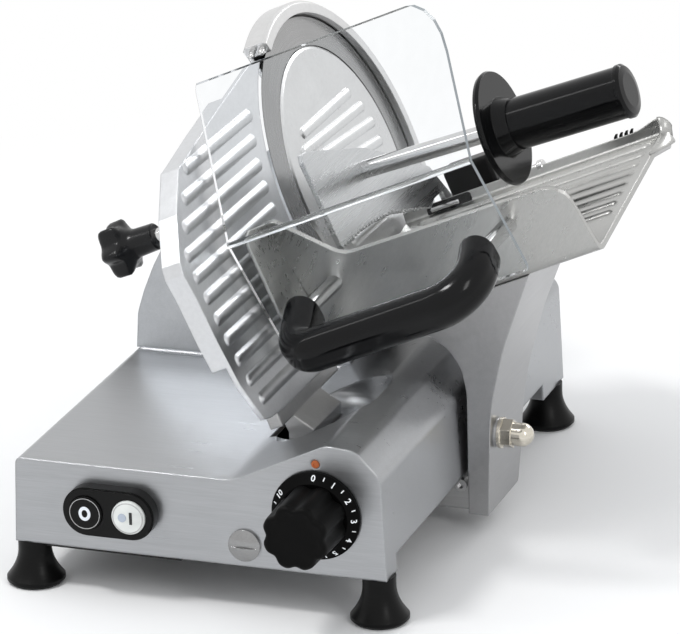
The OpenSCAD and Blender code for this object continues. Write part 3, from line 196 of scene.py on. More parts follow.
def metal(name, colour, rough, lines, turn=(0, 0, 0), edge=0.0, shade=None, spread=0.05, relief=0.0008):
    """Brushed or satin metal: lines are the noise scales along the turned x, y and z."""
    mat, n = new_material(name)
    place = n("TexCoord").outputs["Object"]
    turned = n("Mapping", {"Vector": place, "Rotation": turn}).outputs["Vector"]
    hair = n.noise(n.stretched(turned, lines), 1.0, 2.0, 0.6)
    streak = n.noise(n.stretched(turned, tuple(v * STREAK_SHARE for v in lines)), 1.0, 3.0, 0.6)
    clouds = n.noise(place, CLOUD_SCALES["brushed"], 3.0, 0.55)
    tint = n.product(n.swing(hair, 1, spread), n.swing(streak, 1, spread * STREAK_SPREAD))
    tint = n.product(tint, n.swing(clouds, 1, spread * CLOUD_SPREAD))
    # shade multiplies the tone by a painted shade, as on the gauge plate's ribs
    if shade:
        tint = n.product(tint, shade(n, place))
    rough_value = n.math("ADD", n.swing(streak, rough, 0.04), n.swing(clouds, 0, 0.03))
    return as_metal(mat, n, n.scaled(colour, tint), rough_value, bumped(n, hair, relief, edge))


def from_blade(n, place):
    """Distance from the blade's face, along its axis, in mm."""
    across = (math.cos(TILT), 0.0, math.sin(TILT))
    along = n("VectorMath", {0: place, 1: across}, operation="DOT_PRODUCT").outputs["Value"]
    return n.product(n.math("SUBTRACT", along, BLADE_CENTRE.dot(Vector(across))), 1 / MM)


def rib_shade(low, high, between, tops):
    """Painted shade on ribs that stand from low to high off the blade's face: one tone between them and
    another on their tops.
    """
    return lambda n, place: n.ramp(from_blade(n, place), low, high, between, tops)


def turned_metal(name, colour, rough, centre, axis_turn):
    """Metal turned on a lathe: lines run round the blade's axis."""
    mat, n = new_material(name)
    place = n("TexCoord").outputs["Object"]
    inputs = {"Vector": place, "Location": centre, "Rotation": axis_turn}
    local = n("Mapping", inputs, vector_type="TEXTURE").outputs["Vector"]
    parts = n("SeparateXYZ", {"Vector": local}).outputs
    radius = n.math("SQRT", n.math("ADD", n.math("POWER", parts["X"], 2.0), n.math("POWER", parts["Y"], 2.0)))

    def rings(lines, detail, roughness):
        return n.noise(n("CombineXYZ", {"X": n.product(radius, lines)}).outputs[0], 1.0, detail, roughness)

    hair = rings(TURNED_LINES, 3.0, 0.7)
    band = rings(TURNED_LINES * BAND_SHARE, 2.0, 0.6)
    clouds = n.noise(place, CLOUD_SCALES["turned"], 2.0)
    tint = n.product(n.swing(hair, 1, 0.06), n.swing(band, 1, 0.05), n.swing(clouds, 1, 0.04))
    rough_value = n.math("ADD", n.swing(band, rough, 0.05), n.swing(clouds, 0, 0.03))
    return as_metal(mat, n, n.scaled(colour, tint), rough_value, bumped(n, hair, TURNED_RELIEF, 0))


def plastic(name, colour, rough, relief=0.004, grain_size=2500.0, edge=0.0006, specular=0.5):
    """Moulded plastic or rubber: fine grain, a little dust tone and soft edges."""
    mat, n = new_material(name)
    place = n("TexCoord").outputs["Object"]
    grains = n.noise(place, grain_size, 2.0)
    clouds = n.noise(place, CLOUD_SCALES["moulded"], 3.0, 0.6)
    shader = n(
        "BsdfPrincipled",
        {
            "Base Color": n.scaled(colour, n.swing(clouds, 1, 0.15)),
            "Roughness": n.math("ADD", n.swing(clouds, rough, 0.03), n.swing(grains, 0, 0.02)),
            "Normal": bumped(n, grains, relief, edge),
            "Specular IOR Level": specular,
        },
    )
    n.finish(shader.outputs[0])
    return mat


def clear_sheet(name, colour=(0.96, 0.975, 0.985, 1), ior=1.12):
    """Clear acrylic: almost no colour, a little dustier in some places than in others."""
    mat, n = new_material(name)
    place = n("TexCoord").outputs["Object"]
    dust = n.noise(n.stretched(place, (90, 12, 60)), 1.0, 3.0, 0.6)
    tint = n.scaled(colour, n.swing(dust, 1, 0.015))
    inputs = {"Base Color": tint, "Transmission Weight": 1.0, "IOR": ior, "Roughness": 0.0}
    n.finish(n("BsdfPrincipled", inputs).outputs[0])
    return mat


TILT = math.radians(23.5)
BLADE_CENTRE = Vector((148.5 - ORIGIN_X, 340 - ORIGIN_Y, 232.5)) * MM

ALONG_X = (40, 1500, 1500)
ALONG_Y = (1500, 40, 1500)
SATIN = (300, 300, 300)
POLISH = (800, 800, 800)
WOUND = (1200, 1200, 1200)
ON_THE_BLADE = (0, math.radians(90) - TILT, 0)
# painted shade: the gauge plate's tone is lighter between its ribs and darker on their tops
GAUGE_RIB_PAINTED_SHADE = rib_shade(-2.2, 0, 1.06, 0.90)


def slot_materials():
    """One material for each slot of the part's source."""
    return {
        "cast_aluminium": metal("cast_aluminium", grey(0.50), 0.36, ALONG_X, edge=0.0022),
        "brushed_aluminium": metal("brushed_aluminium", grey(0.58), 0.30, ALONG_Y, edge=0.0012),
        "blade_steel": turned_metal("blade_steel", grey(0.34), 0.26, BLADE_CENTRE, ON_THE_BLADE),
        "polished_steel": metal("polished_steel", grey(0.62), 0.12, POLISH, edge=0.0004, relief=0.001),
        "nickel": metal("nickel", (0.66, 0.62, 0.54, 1), 0.16, POLISH, edge=0.0006, relief=0.001),
        "copper": metal("copper", (0.55, 0.17, 0.07, 1), 0.34, WOUND),
        "bronze": metal("bronze", (0.52, 0.36, 0.18, 1), 0.32, ALONG_Y),
        "black_plastic": plastic("black_plastic", grey(0.004), 0.32, specular=0.16),
        "gloss_black": plastic("gloss_black", (0.002, 0.0021, 0.0025, 1), 0.13, 0.0004, 900.0, 0.0010, 0.2),
        "white_plastic": plastic("white_plastic", (0.72, 0.74, 0.72, 1), 0.35),
        "lens": plastic("lens", (0.42, 0.47, 0.55, 1), 0.15, 0.001, 1200.0, 0.0004),
        "dark_plate": plastic("dark_plate", grey(0.012), 0.45, 0.006, 1500.0, specular=0.25),
        "rubber": plastic("rubber", grey(0.003), 0.34, 0.004, 1800.0, 0.0010, 0.14),
        "clear_sheet": clear_sheet("clear_sheet"),
    }


def node_materials():
    """Materials of the nodes whose finish differs a little from their slot's."""
    return {
        "base_housing": metal("base_satin", (0.39, 0.398, 0.41, 1), 0.32, ALONG_X, edge=0.0024),
        "motor_housing": metal("motor_satin", (0.42, 0.435, 0.455, 1), 0.38, ALONG_Y, edge=0.0024),
        "ring_guard": metal("guard_satin", grey(0.68), 0.34, SATIN, edge=0.0016, spread=0.03),
        # gauge plate: satin tone with painted rib shade
        "gauge_plate": metal(
            "gauge_satin", (0.64, 0.65, 0.665, 1), 0.36, SATIN, edge=0.0016, shade=GAUGE_RIB_PAINTED_SHADE, spread=0.03
        ),
        "blade_cover": metal("cover_satin", grey(0.66), 0.30, SATIN, edge=0.0010, spread=0.03),
        "tray": metal(
            "tray_satin", (0.46, 0.46, 0.448, 1), 0.30, ALONG_X, turn=ON_THE_BLADE, edge=0.0014, relief=0.0001
        ),
        "support_arm": metal("arm_satin", (0.42, 0.42, 0.425, 1), 0.34, ALONG_Y, edge=0.0016),
        "pusher_plate": metal(
            "pusher_satin", (0.58, 0.585, 0.59, 1), 0.28, ALONG_Y, edge=0.0010, relief=0.0001
        ),
        "rod_plug": metal("plug_polish", grey(0.30), 0.14, POLISH, edge=0.0004, relief=0.001),
        "dial_cap": plastic("cap_black", grey(0.002), 0.40, specular=0.08),
        "dial_skirt": plastic("skirt_black", grey(0.0015), 0.42, specular=0.05),
    }


def dress_frame():
    """Give every node its material, and return those of the slots."""
    by_slot, by_node = slot_materials(), node_materials()
    for part in frame["record"]["subparts"]:
        mesh = frame["nodes"][part["node"]].data
        mesh.materials.clear()
        mesh.materials.append(by_node.get(part["node"], by_slot[part["material_slot"]]))
    return by_slot


def finish_of(node):
    return frame["nodes"][node].data.materials[0]


# ---------------------------------------------------------------- light and floor

SKY_COLOUR = (0.965, 0.98, 1.0, 1)
SKY_RISE = (-0.3, 0.9)  # how far up a direction points where the sky's strength starts and stops to grow
SKY_STRENGTH = (0.45, 0.90)


def make_world():
    """Plain soft sky that lights the object, and white where it is seen."""
    world = bpy.data.worlds.new("world")
    world.use_nodes = True
    scene.world = world
    n = Nodes(world.node_tree)
    direction = n("TexCoord").outputs["Generated"]
    height = n("SeparateXYZ", {"Vector": direction}).outputs["Z"]
    strength = n.ramp(height, *SKY_RISE, *SKY_STRENGTH)
    lit = n("Background", {"Color": SKY_COLOUR, "Strength": strength}).outputs[0]
    white = n("Background", {"Color": WHITE, "Strength": 1.0}).outputs[0]
    n("OutputWorld", {"Surface": n("MixShader", {0: n.seen(), 1: lit, 2: white}).outputs[0]})


MIDDLE = (0, 0, 0.2)
LAMPS = {  # place, target, watts, width and height
    "key": ((-1.0, -1.1, 2.6), MIDDLE, 28, 0.75, 0.3),
    "side": ((1.8, -1.5, 1.4), MIDDLE, 8, 0.4, 1.0),
    "strip": ((-1.6, -0.84, 1.7), (0.2, 0, 0.3), 2.5, 0.09, 0.9),
    "back": ((0.9, 2.3, 1.5), MIDDLE, 10, 1.2, 0.4),
}


def area_light(name, place, target, power, width, height):
    data = bpy.data.lights.new(name, "AREA")
    data.energy = power
    data.shape = "RECTANGLE"
    data.size, data.size_y = width, height
    light = bpy.data.objects.new(name, data)
    place, target = Vector(place), Vector(target)
    light.location = place
    light.rotation_mode = "QUATERNION"
    light.rotation_quaternion = (target - place).to_track_quat("-Z", "Y")
    scene.collection.objects.link(light)


FLOOR_HALF, FLOOR_TONE = 6.0, 0.93
WHITE_FROM = (0.35, 1.0)  # distances between which the floor turns to the white of the background


def make_stage():
    """Pale floor that keeps the shadow, and the lamps."""
    half = FLOOR_HALF
    mesh = bpy.data.meshes.new("floor")
    corners = [(-half, -half, 0), (half, -half, 0), (half, half, 0), (-half, half, 0)]
    mesh.from_pydata(corners, [], [(0, 1, 2, 3)])
    floor = bpy.data.objects.new("floor", mesh)
    scene.collection.objects.link(floor)
    mat, n = new_material("floor")
    pale = n("BsdfPrincipled", {"Base Color": grey(FLOOR_TONE), "Roughness": 0.9, "Specular IOR Level": 0.1})
    reach = n("VectorMath", {0: n("TexCoord").outputs["Object"]}, operation="LENGTH").outputs["Value"]
    factor = n.product(n.seen(), n.ramp(reach, *WHITE_FROM, 0.0, 1.0))
    white = n("Emission", {"Color": WHITE, "Strength": 1.0}).outputs[0]
    n.finish(n("MixShader", {0: factor, 1: pale.outputs[0], 2: white}).outputs[0])
    mesh.materials.append(mat)
    for name, lamp in LAMPS.items():
        area_light(name, *lamp)


# ---------------------------------------------------------------- forms and pieces

FACE_LIFT = 0.04  # how far a mark stands off the face under it


def place(x, y, z):
    """Point x right of, y behind and z above the base's front left corner."""
    return (Vector((x, y, z)) - CORNER) * MM


def on_blade(y, v, n):
    """Point in the blade's frame: y back, v up the blade, n out from its face."""
    across = Vector((math.cos(TILT), 0, math.sin(TILT)))
    up = Vector((-math.sin(TILT), 0, math.cos(TILT)))
    return BLADE_CENTRE + (Vector((0, y, 0)) + up * v + across * n) * MM


def turns(count):
    return [2 * math.pi * k / count for k in range(count)]


def add_piece(name, mesh, material, body):
    mesh.materials.clear()
    mesh.materials.append(material)
    piece = bpy.data.objects.new(name, mesh)
    scene.collection.objects.link(piece)
    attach(piece, body)
    return piece


def mesh_piece(name, form, material, body, slot, smooth=False, sharp=None):
    """Piece from a closed form: its points, and its faces, which are turned outwards where they look in.

    On a smooth piece, edges that turn by more than sharp degrees stay sharp.
    """
    points, faces = form
    fans = ((f[0], f[k], f[k + 1]) for f in faces for k in range(1, len(f) - 1))
    if sum(points[a].dot(points[b].cross(points[c])) for a, b, c in fans) < 0:
        faces = [tuple(reversed(f)) for f in faces]
    mesh = bpy.data.meshes.new(name)
    mesh.from_pydata([tuple(p) for p in points], [], faces)
    mesh.validate()
    if smooth:
        mesh.polygons.foreach_set("use_smooth", [True] * len(mesh.polygons))
    if sharp:
        mesh.set_sharp_from_angle(angle=math.radians(sharp))
    return add_piece(name, mesh, material, body)


def slot_piece(name, form, body, slot, **options):
    """Piece in its slot's own material."""
    return mesh_piece(name, form, made_materials[slot], body, slot, **options)


def tray_piece(name, form, **options):
    """Piece of the carriage in the tray's finish."""
    return mesh_piece(name, form, finish_of("tray"), "carriage", "brushed_aluminium", **options)


def joined(forms):
    """One form from several."""
    points, faces = [], []
    for more, quads in forms:
        faces += [tuple(i + len(points) for i in f) for f in quads]
        points += more
    return points, faces


def lofted(rings):
    """Closed form through rings of as many points each."""
    count = len(rings[0])
    last = (len(rings) - 1) * count
    points = [p for ring in rings for p in ring]
    faces = []
    for start in range(0, last, count):
        for k in range(count):
            a, b = start + k, start + (k + 1) % count
            faces.append((a, b, b + count, a + count))
    faces.append(tuple(range(count - 1, -1, -1)))
    faces.append(tuple(range(last, last + count)))
    return points, faces


def flat_form(outline, hole, thick, matrix):
    """Closed thin form with the outline's points, and a hole with as many points where hole is given."""
    rings = [outline] + ([hole] if hole else [])
    count = len(outline)
    points, faces = [], []
    for z in (0, thick):
        for ring in rings:
            points += [matrix @ (Vector((x, y, z)) * MM) for x, y in ring]
    span = count * len(rings)
    for i in range(count):
        j = (i + 1) % count
        faces.append((i, j, span + j, span + i))
        if hole:
            faces.append((count + j, count + i, span + count + i, span + count + j))
            faces.append((i, count + i, count + j, j))
            faces.append((span + i, span + j, span + count + j, span + count + i))
    if not hole:
        faces += [tuple(range(count - 1, -1, -1)), tuple(range(span, span + count))]
    return points, faces


def sheet_form(grid, thick):
    """Closed form of a bent sheet: grid holds rows of points on its outer side."""
    rows, cols = len(grid), len(grid[0])
    inner = []
    for i in range(rows):
        line = []
        for j in range(cols):
            down = grid[min(i + 1, rows - 1)][j] - grid[max(i - 1, 0)][j]
            over = grid[i][min(j + 1, cols - 1)] - grid[i][max(j - 1, 0)]
            line.append(grid[i][j] - down.cross(over).normalized() * thick * MM)
        inner.append(line)
    points = [p for row in grid for p in row] + [p for row in inner for p in row]
    size = rows * cols
    faces = []
    for i in range(rows - 1):
        for j in range(cols - 1):
            a = i * cols + j
            quad = (a, a + cols, a + cols + 1, a + 1)
            faces += [quad, tuple(size + k for k in reversed(quad))]
    rim = [(0, j) for j in range(cols)] + [(i, cols - 1) for i in range(1, rows)]
    rim += [(rows - 1, j) for j in range(cols - 2, -1, -1)] + [(i, 0) for i in range(rows - 2, 0, -1)]
    for k, (i, j) in enumerate(rim):
        m, q = rim[(k + 1) % len(rim)]
        a, b = i * cols + j, m * cols + q
        faces.append((a, b, b + size, a + size))
    return points, faces


def ellipse(a, b, count=48):
    return [(a * math.cos(t), b * math.sin(t)) for t in turns(count)]


def round_bar(w, h, r, count=6):
    """Outline of a bar with rounded corners."""
    points = []
    for cx, cy, start in ((1, 1, 0), (-1, 1, 90), (-1, -1, 180), (1, -1, 270)):
        for k in range(count + 1):
            a = math.radians(start + 90 * k / count)
            points.append((cx * (w / 2 - r) + r * math.cos(a), cy * (h / 2 - r) + r * math.sin(a)))
    return points


def rounded(outline, radii, steps=5):
    """Outline with its corners rounded, each by its own radius."""
    points = []
    for k, corner in enumerate(outline):
        here, r = Vector(corner), radii[k]
        if not r:
            points.append(tuple(here))
            continue
        before = (Vector(outline[k - 1]) - here).normalized()
        after = (Vector(outline[(k + 1) % len(outline)]) - here).normalized()
        half = before.angle(after) / 2
        middle = here + (before + after).normalized() * (r / math.sin(half))
        start, end = here + before * (r / math.tan(half)), here + after * (r / math.tan(half))
        for j in range(steps + 1):
            arm = (start - middle).lerp(end - middle, j / steps).normalized() * r
            points.append(tuple(middle + arm))
    return points


# ---------------------------------------------------------------- buttons

SWITCH_X, SWITCH_Z = 79.5, 69.5
BUTTONS_APART, BUTTON_OUT = 34.0, 14.5
MARK_Y = -BUTTON_OUT - FACE_LIFT
MARK_THICK, RIM_THICK = 0.12, 0.1
ZERO_OUTER, ZERO_INNER = (4.7, 5.6), (2.3, 3.0)  # half width and half height
ONE, ONE_RIGHT = (2.3, 9.6, 0.3), 2.4  # width, height and corner radius; how far right of the middle
RIM_R, START_INNER, STOP_INNER = 12.0, 11.2, 11.5
STOP_X, START_X = SWITCH_X - BUTTONS_APART / 2, SWITCH_X + BUTTONS_APART / 2


def facing_front(x, y, z):
    """Frame of a flat mark on a face that looks to the front: x right, y up, z out."""
    turn = Matrix(((1, 0, 0), (0, 0, -1), (0, 1, 0)))
    return Matrix.Translation(place(x, y, z)) @ turn.to_4x4()


def button_rim(x, inner):
    spot = facing_front(x, MARK_Y, SWITCH_Z)
    return flat_form(ellipse(RIM_R, RIM_R, 64), ellipse(inner, inner, 64), RIM_THICK, spot)


def make_switch_marks():
    """0 and I on the buttons, and the rings round their faces."""
    white = plastic("mark_white", (0.80, 0.84, 0.90, 1), 0.4, edge=0)
    black = plastic("mark_black", grey(0.010), 0.4, edge=0)
    shade = plastic("mark_grey", grey(0.45), 0.5, edge=0)
    spot = facing_front(STOP_X, MARK_Y, SWITCH_Z)
    zero = flat_form(ellipse(*ZERO_OUTER), ellipse(*ZERO_INNER), MARK_THICK, spot)
    mesh_piece("stop_mark", zero, white, "stop_switch", "white_plastic")
    spot = facing_front(START_X + ONE_RIGHT, MARK_Y, SWITCH_Z)
    one = flat_form(round_bar(*ONE), None, MARK_THICK, spot)
    mesh_piece("start_mark", one, black, "start_switch", "black_plastic")
    mesh_piece("start_rim", button_rim(START_X, START_INNER), shade, "start_switch", "white_plastic")
    mesh_piece("stop_rim", button_rim(STOP_X, STOP_INNER), shade, "stop_switch", "black_plastic")


# ---------------------------------------------------------------- dial

DIAL_X, DIAL_Z = 239.3, 82.8
SKIRT = ((34.0, 2.967), (26.5, 8.3))  # radius and reach of the skirt's outer and inner edge
NUMBERS, NUMBER_STEP = 11, 30.0
NUMERAL_SIZE, NUMERAL_THICK, NUMERAL_BOLD = 6.6, 0.06, 0.12
NUMERALS_AT, TICKS_AT = 0.5, 0.62  # share of the way from the skirt's inner to its outer edge
TICK = (0.8, 3.0, 0.2, 3)  # width, length, corner radius, points at each corner
TICK_THICK = 0.1


def on_skirt(clockwise, share):
    """Frame on the skirt's slope: x clockwise, y outwards, z off the face."""
    (r0, y0), (r1, y1) = SKIRT
    r, y = r1 + (r0 - r1) * share, y1 + (y0 - y1) * share
    a = math.radians(clockwise)
    radial = Vector((math.sin(a), 0, math.cos(a)))
    along = Vector((math.cos(a), 0, -math.sin(a)))
    up = (radial * (r0 - r1) + Vector((0, y1 - y0, 0))).normalized()
    off = along.cross(up)
    spot = place(DIAL_X + radial.x * r, -y, DIAL_Z + radial.z * r) + off * FACE_LIFT * MM
    return Matrix.Translation(spot) @ Matrix((along, up, off)).transposed().to_4x4()


def numeral_mesh(number, name):
    letters = bpy.data.curves.new(name, "FONT")
    letters.body = str(number)
    letters.size = NUMERAL_SIZE * MM
    letters.align_x, letters.align_y = "CENTER", "CENTER"
    letters.extrude = NUMERAL_THICK * MM
    letters.offset = NUMERAL_BOLD * MM
    holder = bpy.data.objects.new(name + "_curve", letters)
    scene.collection.objects.link(holder)
    bpy.context.view_layer.update()
    mesh = bpy.data.meshes.new_from_object(holder.evaluated_get(bpy.context.evaluated_depsgraph_get()))
    bpy.data.objects.remove(holder)
    mesh.name = name
    return mesh


def make_dial_marks():
    """Numerals round the skirt, and a tick between each two."""
    white = plastic("numeral_white", (0.86, 0.88, 0.90, 1), 0.4, edge=0)
    for k in range(NUMBERS):
        name = f"numeral_{k}"
        mesh = numeral_mesh(k, name)
        mesh.transform(on_skirt(k * NUMBER_STEP, NUMERALS_AT))
        add_piece(name, mesh, white, "dial")
    ticks = [
        flat_form(round_bar(*TICK), None, TICK_THICK, on_skirt((k + 0.5) * NUMBER_STEP, TICKS_AT))
        for k in range(NUMBERS - 1)
    ]
    mesh_piece("dial_ticks", joined(ticks), white, "dial", "white_plastic")


CAP_R, CAP_LOBES, CAP_GROOVE, CAP_POWER = 26.4, 8, 3.0, 1.6
CAP_LEVELS = (  # place from front to back, change of the radius, share of the grooves' depth
    (-8.4, -1.0, 1.0), (-9.2, 0.0, 1.0), (-12, 0.0, 1.0), (-30, -0.5, 1.0), (-45, -0.9, 1.0),
    (-47.4, -1.3, 0.98), (-48.6, -2.2, 0.95), (-49.2, -3.4, 0.9), (-49.3, -5.0, 0.85),
    (-49.0, -5.8, 0.8), (-49.0, -12.0, 0.3),
)


def make_dial_knob():
    """Knob with scalloped sides: its grooves run out to the front face."""
    rings = []
    for y, out, depth in CAP_LEVELS:
        ring = []
        for a in turns(CAP_LOBES * 16):
            groove = CAP_GROOVE * depth * (0.5 + 0.5 * math.cos(CAP_LOBES * a)) ** CAP_POWER
            r = CAP_R + out - groove
            ring.append(place(DIAL_X + r * math.sin(a), y, DIAL_Z + r * math.cos(a)))
        rings.append(ring)
    black = finish_of("dial_cap")
    knob = mesh_piece("dial_knob", lofted(rings), black, "dial", "black_plastic", smooth=True, sharp=38)
    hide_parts("dial_cap")


# ---------------------------------------------------------------- base and blade cover

COVER_SCREWS = [(x, y) for x in (36, 119) for y in (24, 416)]
COVER_UNDERSIDE = 34.35
SCREW_LEVELS = ((3.4, 0.0), (3.4, -0.9), (2.6, -1.5), (1.2, -1.7))  # radius, height


def make_cover_screws():
    """Low heads of the screws that hold the bottom cover."""
    forms = []
    for x, y in COVER_SCREWS:
        rings = [
            [place(x + r * math.cos(a), y + r * math.sin(a), COVER_UNDERSIDE + z) for a in turns(20)]
            for r, z in SCREW_LEVELS
        ]
        forms.append(lofted(rings))
    slot_piece("cover_screws", joined(forms), "base", "polished_steel")


STAR_LOBES, STAR_POWER = 6, 0.75
STAR_LEVELS = (  # place out from the blade's face, radius at the lobes, depth of the grooves between them
    (-178, 9.8, 0), (-179.2, 11, 0), (-196, 11.6, 0), (-200.5, 13.4, 0.2), (-203.6, 18.6, 2.4),
    (-205.4, 22.2, 4.8), (-207.4, 23.8, 6.2), (-217.4, 23.4, 6.2), (-220, 22.2, 5.8), (-221.5, 20.2, 4.8),
    (-222, 17.6, 3.4), (-221.9, 12.0, 0.6), (-221.2, 10.8, 0), (-221.1, 0.6, 0),
)


def make_star_knob():
    """Star knob of the cover: wide scallops between narrow lobes."""
    rings = []
    for n, out, depth in STAR_LEVELS:
        ring = []
        for a in turns(STAR_LOBES * 20):
            r = out - depth * (0.5 - 0.5 * math.cos(STAR_LOBES * a)) ** STAR_POWER
            ring.append(on_blade(r * math.cos(a), r * math.sin(a), n))
        rings.append(ring)
    black = plastic("knob_black", (0.0035, 0.0037, 0.0045, 1), 0.24, 0.002, specular=0.3)
    form = lofted(rings[::-1])
    knob = mesh_piece("star_grip", form, black, "cover_knob", "black_plastic", smooth=True, sharp=40)
    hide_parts("star_knob")


# ---------------------------------------------------------------- tray
# Places are in the blade's frame: y behind the centre, v up the blade, n out from its face.

TRAY_Y, TRAY_V, FLOOR_RISE, FLOOR_L = -160.0, -93.0, math.radians(7), 208.0
TRAY_N0, TRAY_N1 = 6.0, 236.0
UPSTAND = Vector((4.0, 9.0)).normalized()


def on_tray(s, h, n):
    """Point s along the tray's floor from its bend, h above the floor's middle."""
    y = TRAY_Y + s * math.cos(FLOOR_RISE) - h * math.sin(FLOOR_RISE)
    v = TRAY_V + s * math.sin(FLOOR_RISE) + h * math.cos(FLOOR_RISE)
    return on_blade(y, v, n)


def on_upstand(along, out, n):
    """Point beside the tray's rear upstand: along from its foot, out behind it."""
    return on_tray(FLOOR_L + UPSTAND.x * along + UPSTAND.y * out, UPSTAND.y * along - UPSTAND.x * out, n)


def upstand_pin(along, out, levels, count):
    """Round form across the tray, beside the upstand: levels are places across the tray and radii there."""
    return lofted([
        [on_upstand(along + r * math.sin(a), out + r * math.cos(a), n) for a in turns(count)]
        for n, r in levels
    ])


LIP_PATH = (  # along the floor, above its middle
    (166, 2.3), (176, 2.3), (186, 2.3), (194, 2.3), (200, 2.4),
    (204, 3.0), (207, 5.0), (209.5, 8.5), (212, 12.5), (213, 13.6),
)
LIP_WIDTH, LIP_START_WIDTH, LIP_DROP, LIP_THICK, LIP_INSET = 7.2, 0.6, 9.0, 2.6, 0.6
LIP_GROWS, LIP_FADES, LIP_PEAK, LIP_POWER = 1.25, 0.62, 0.4, 0.7  # how the width changes along the path
LIP_DROPS = 1.6
LIP_STEPS = 6
RISE_N, RISE, RISE_STEPS = 214, 4.2, 8  # where the upstand's edge starts to rise, how far, in how many steps
EDGE_FOOT, EDGE_SIDE, EDGE_TOP, EDGE_HALF = 8.0, 9.9, 10.6, 2.3  # heights of its section, half its thickness


def make_tray_lip():
    """The floor's right edge rolls outward behind, up to the corner of the upstand."""
    grid = []
    for k, (s, h) in enumerate(LIP_PATH):
        u = k / (len(LIP_PATH) - 1)
        swell = math.sin(math.pi * min(u * LIP_GROWS, 1 - (u - LIP_PEAK) * LIP_FADES))
        width = LIP_WIDTH * swell ** LIP_POWER if u else LIP_START_WIDTH
        drop = LIP_DROP * math.sin(math.pi / 2 * min(1, u * LIP_DROPS))
        row = []
        for w in range(LIP_STEPS + 1):
            bend = w / LIP_STEPS * math.pi / 2
            n = TRAY_N1 - LIP_INSET + width * math.sin(bend)
            row.append(on_tray(s, h - drop * (1 - math.cos(bend)), n))
        grid.append(row)
    tray_piece("tray_lip", sheet_form(grid, LIP_THICK), smooth=True)
    rings = []
    for k in range(RISE_STEPS + 1):
        u = k / RISE_STEPS
        rise = RISE * (0.5 - 0.5 * math.cos(math.pi * u))
        side, top, half = EDGE_SIDE + rise, EDGE_TOP + rise, EDGE_HALF
        section = ((EDGE_FOOT, -half), (side, -half), (top, 0), (side, half), (EDGE_FOOT, half))
        rings.append([on_upstand(a, o, RISE_N + (TRAY_N1 - RISE_N) * u) for a, o in section])
    tray_piece("tray_corner", lofted(rings))


TEETH, FIRST_TOOTH_N, TOOTH_STEP = 4, 196.5, 4.6
TOOTH_LEVELS = ((8.6, 0.0, 1.3), (11.6, 0.8, 1.1), (13.4, 2.2, 0.6))  # height, lean, half width
TOOTH_HALF_DEPTH = 1.2
BOLT_AT = (9.6, 2.0)  # height on the upstand, and how far out behind it
BOLT_LEVELS = (  # place across the tray, radius
    (117, 2.4), (117.4, 3.0), (127, 3.0), (127.2, 3.0), (127.3, 4.6),
    (127.8, 5.0), (131.4, 5.0), (132.2, 4.4), (132.4, 3.0),
)


def make_tray_teeth():
    """Four small hooks on the upstand's top edge, and the bolt beside the pusher."""
    forms = []
    for k in range(TEETH):
        n = FIRST_TOOTH_N + TOOTH_STEP * k
        rings = []
        for up, lean, half in TOOTH_LEVELS:
            d = TOOTH_HALF_DEPTH
            corners = ((-half, -d), (half, -d), (half, d), (-half, d))
            rings.append([on_upstand(up, o, n + lean + w) for w, o in corners])
        forms.append(lofted(rings))
    slot_piece("tray_teeth", joined(forms), "carriage", "black_plastic")
    slot_piece("tray_bolt", upstand_pin(*BOLT_AT, BOLT_LEVELS, 24), "carriage", "polished_steel")


CATCH_LEVELS = ((27, 1.6), (28.4, 0.3), (29.5, 0), (64.5, 0), (65.6, 0.3), (67, 1.6))  # place, inset
CATCH_LOW, CATCH_HIGH, CATCH_FRONT, CATCH_BACK = 0.6, 9.4, -2.2, -3.0
BAR_AT = (4.4, -4.4)
BAR_LEVELS = ((31, 1.2), (31.8, 1.9), (56, 1.9), (56.8, 1.2))


def make_tray_catch():
    """Dark plate with a steel bar on the upstand, near the blade."""
    rings = []
    for n, inset in CATCH_LEVELS:
        low, high = CATCH_LOW + inset, CATCH_HIGH - inset
        corners = ((low, CATCH_FRONT), (low, CATCH_BACK), (high, CATCH_BACK), (high, CATCH_FRONT))
        rings.append([on_upstand(a, o, n) for a, o in corners])
    slot_piece("catch_plate", lofted(rings), "carriage", "dark_plate")
    slot_piece("catch_bar", upstand_pin(*BAR_AT, BAR_LEVELS, 20), "carriage", "polished_steel")


FLANGE = ((-192.4, 14.6), (-224.0, 20.0), (-231.5, 12.0), (-229.5, -48.0), (-222.0, -57.5), (-173.2, -57.5))
FLANGE_RADII = (0, 9, 5, 5, 5, 0)
FLANGE_N = (TRAY_N0, TRAY_N0 + 2.6)
FLANGE_MIDDLE = (-203.0, -20.0)
FLANGE_EDGE, FLANGE_INSET = 0.4, 0.5


def make_wall_flange():
    """End flange of the near wall, turned forward beside the blade."""
    outline = rounded(FLANGE, FLANGE_RADII)
    near, far = FLANGE_N
    levels = ((near, FLANGE_INSET), (near + FLANGE_EDGE, 0), (far - FLANGE_EDGE, 0), (far, FLANGE_INSET))
    rings = []
    for n, inset in levels:
        ring = []
        for y, v in outline:
            inward = (Vector(FLANGE_MIDDLE) - Vector((y, v))).normalized() * inset
            ring.append(on_blade(y + inward.x, v + inward.y, n))
        rings.append(ring)
    tray_piece("wall_flange", lofted(rings))


# ---------------------------------------------------------------- pusher and hand guard

BLOCK_LEVELS = ((46, 2.2), (46.9, 0.7), (48.5, 0), (84.5, 0), (86.1, 0.7), (87, 2.2))  # place, inset
BLOCK_LOW, BLOCK_HIGH, BLOCK_FRONT, BLOCK_BACK, BLOCK_CORNER = -66.0, -37.5, 57.5, 79.0, 4.0


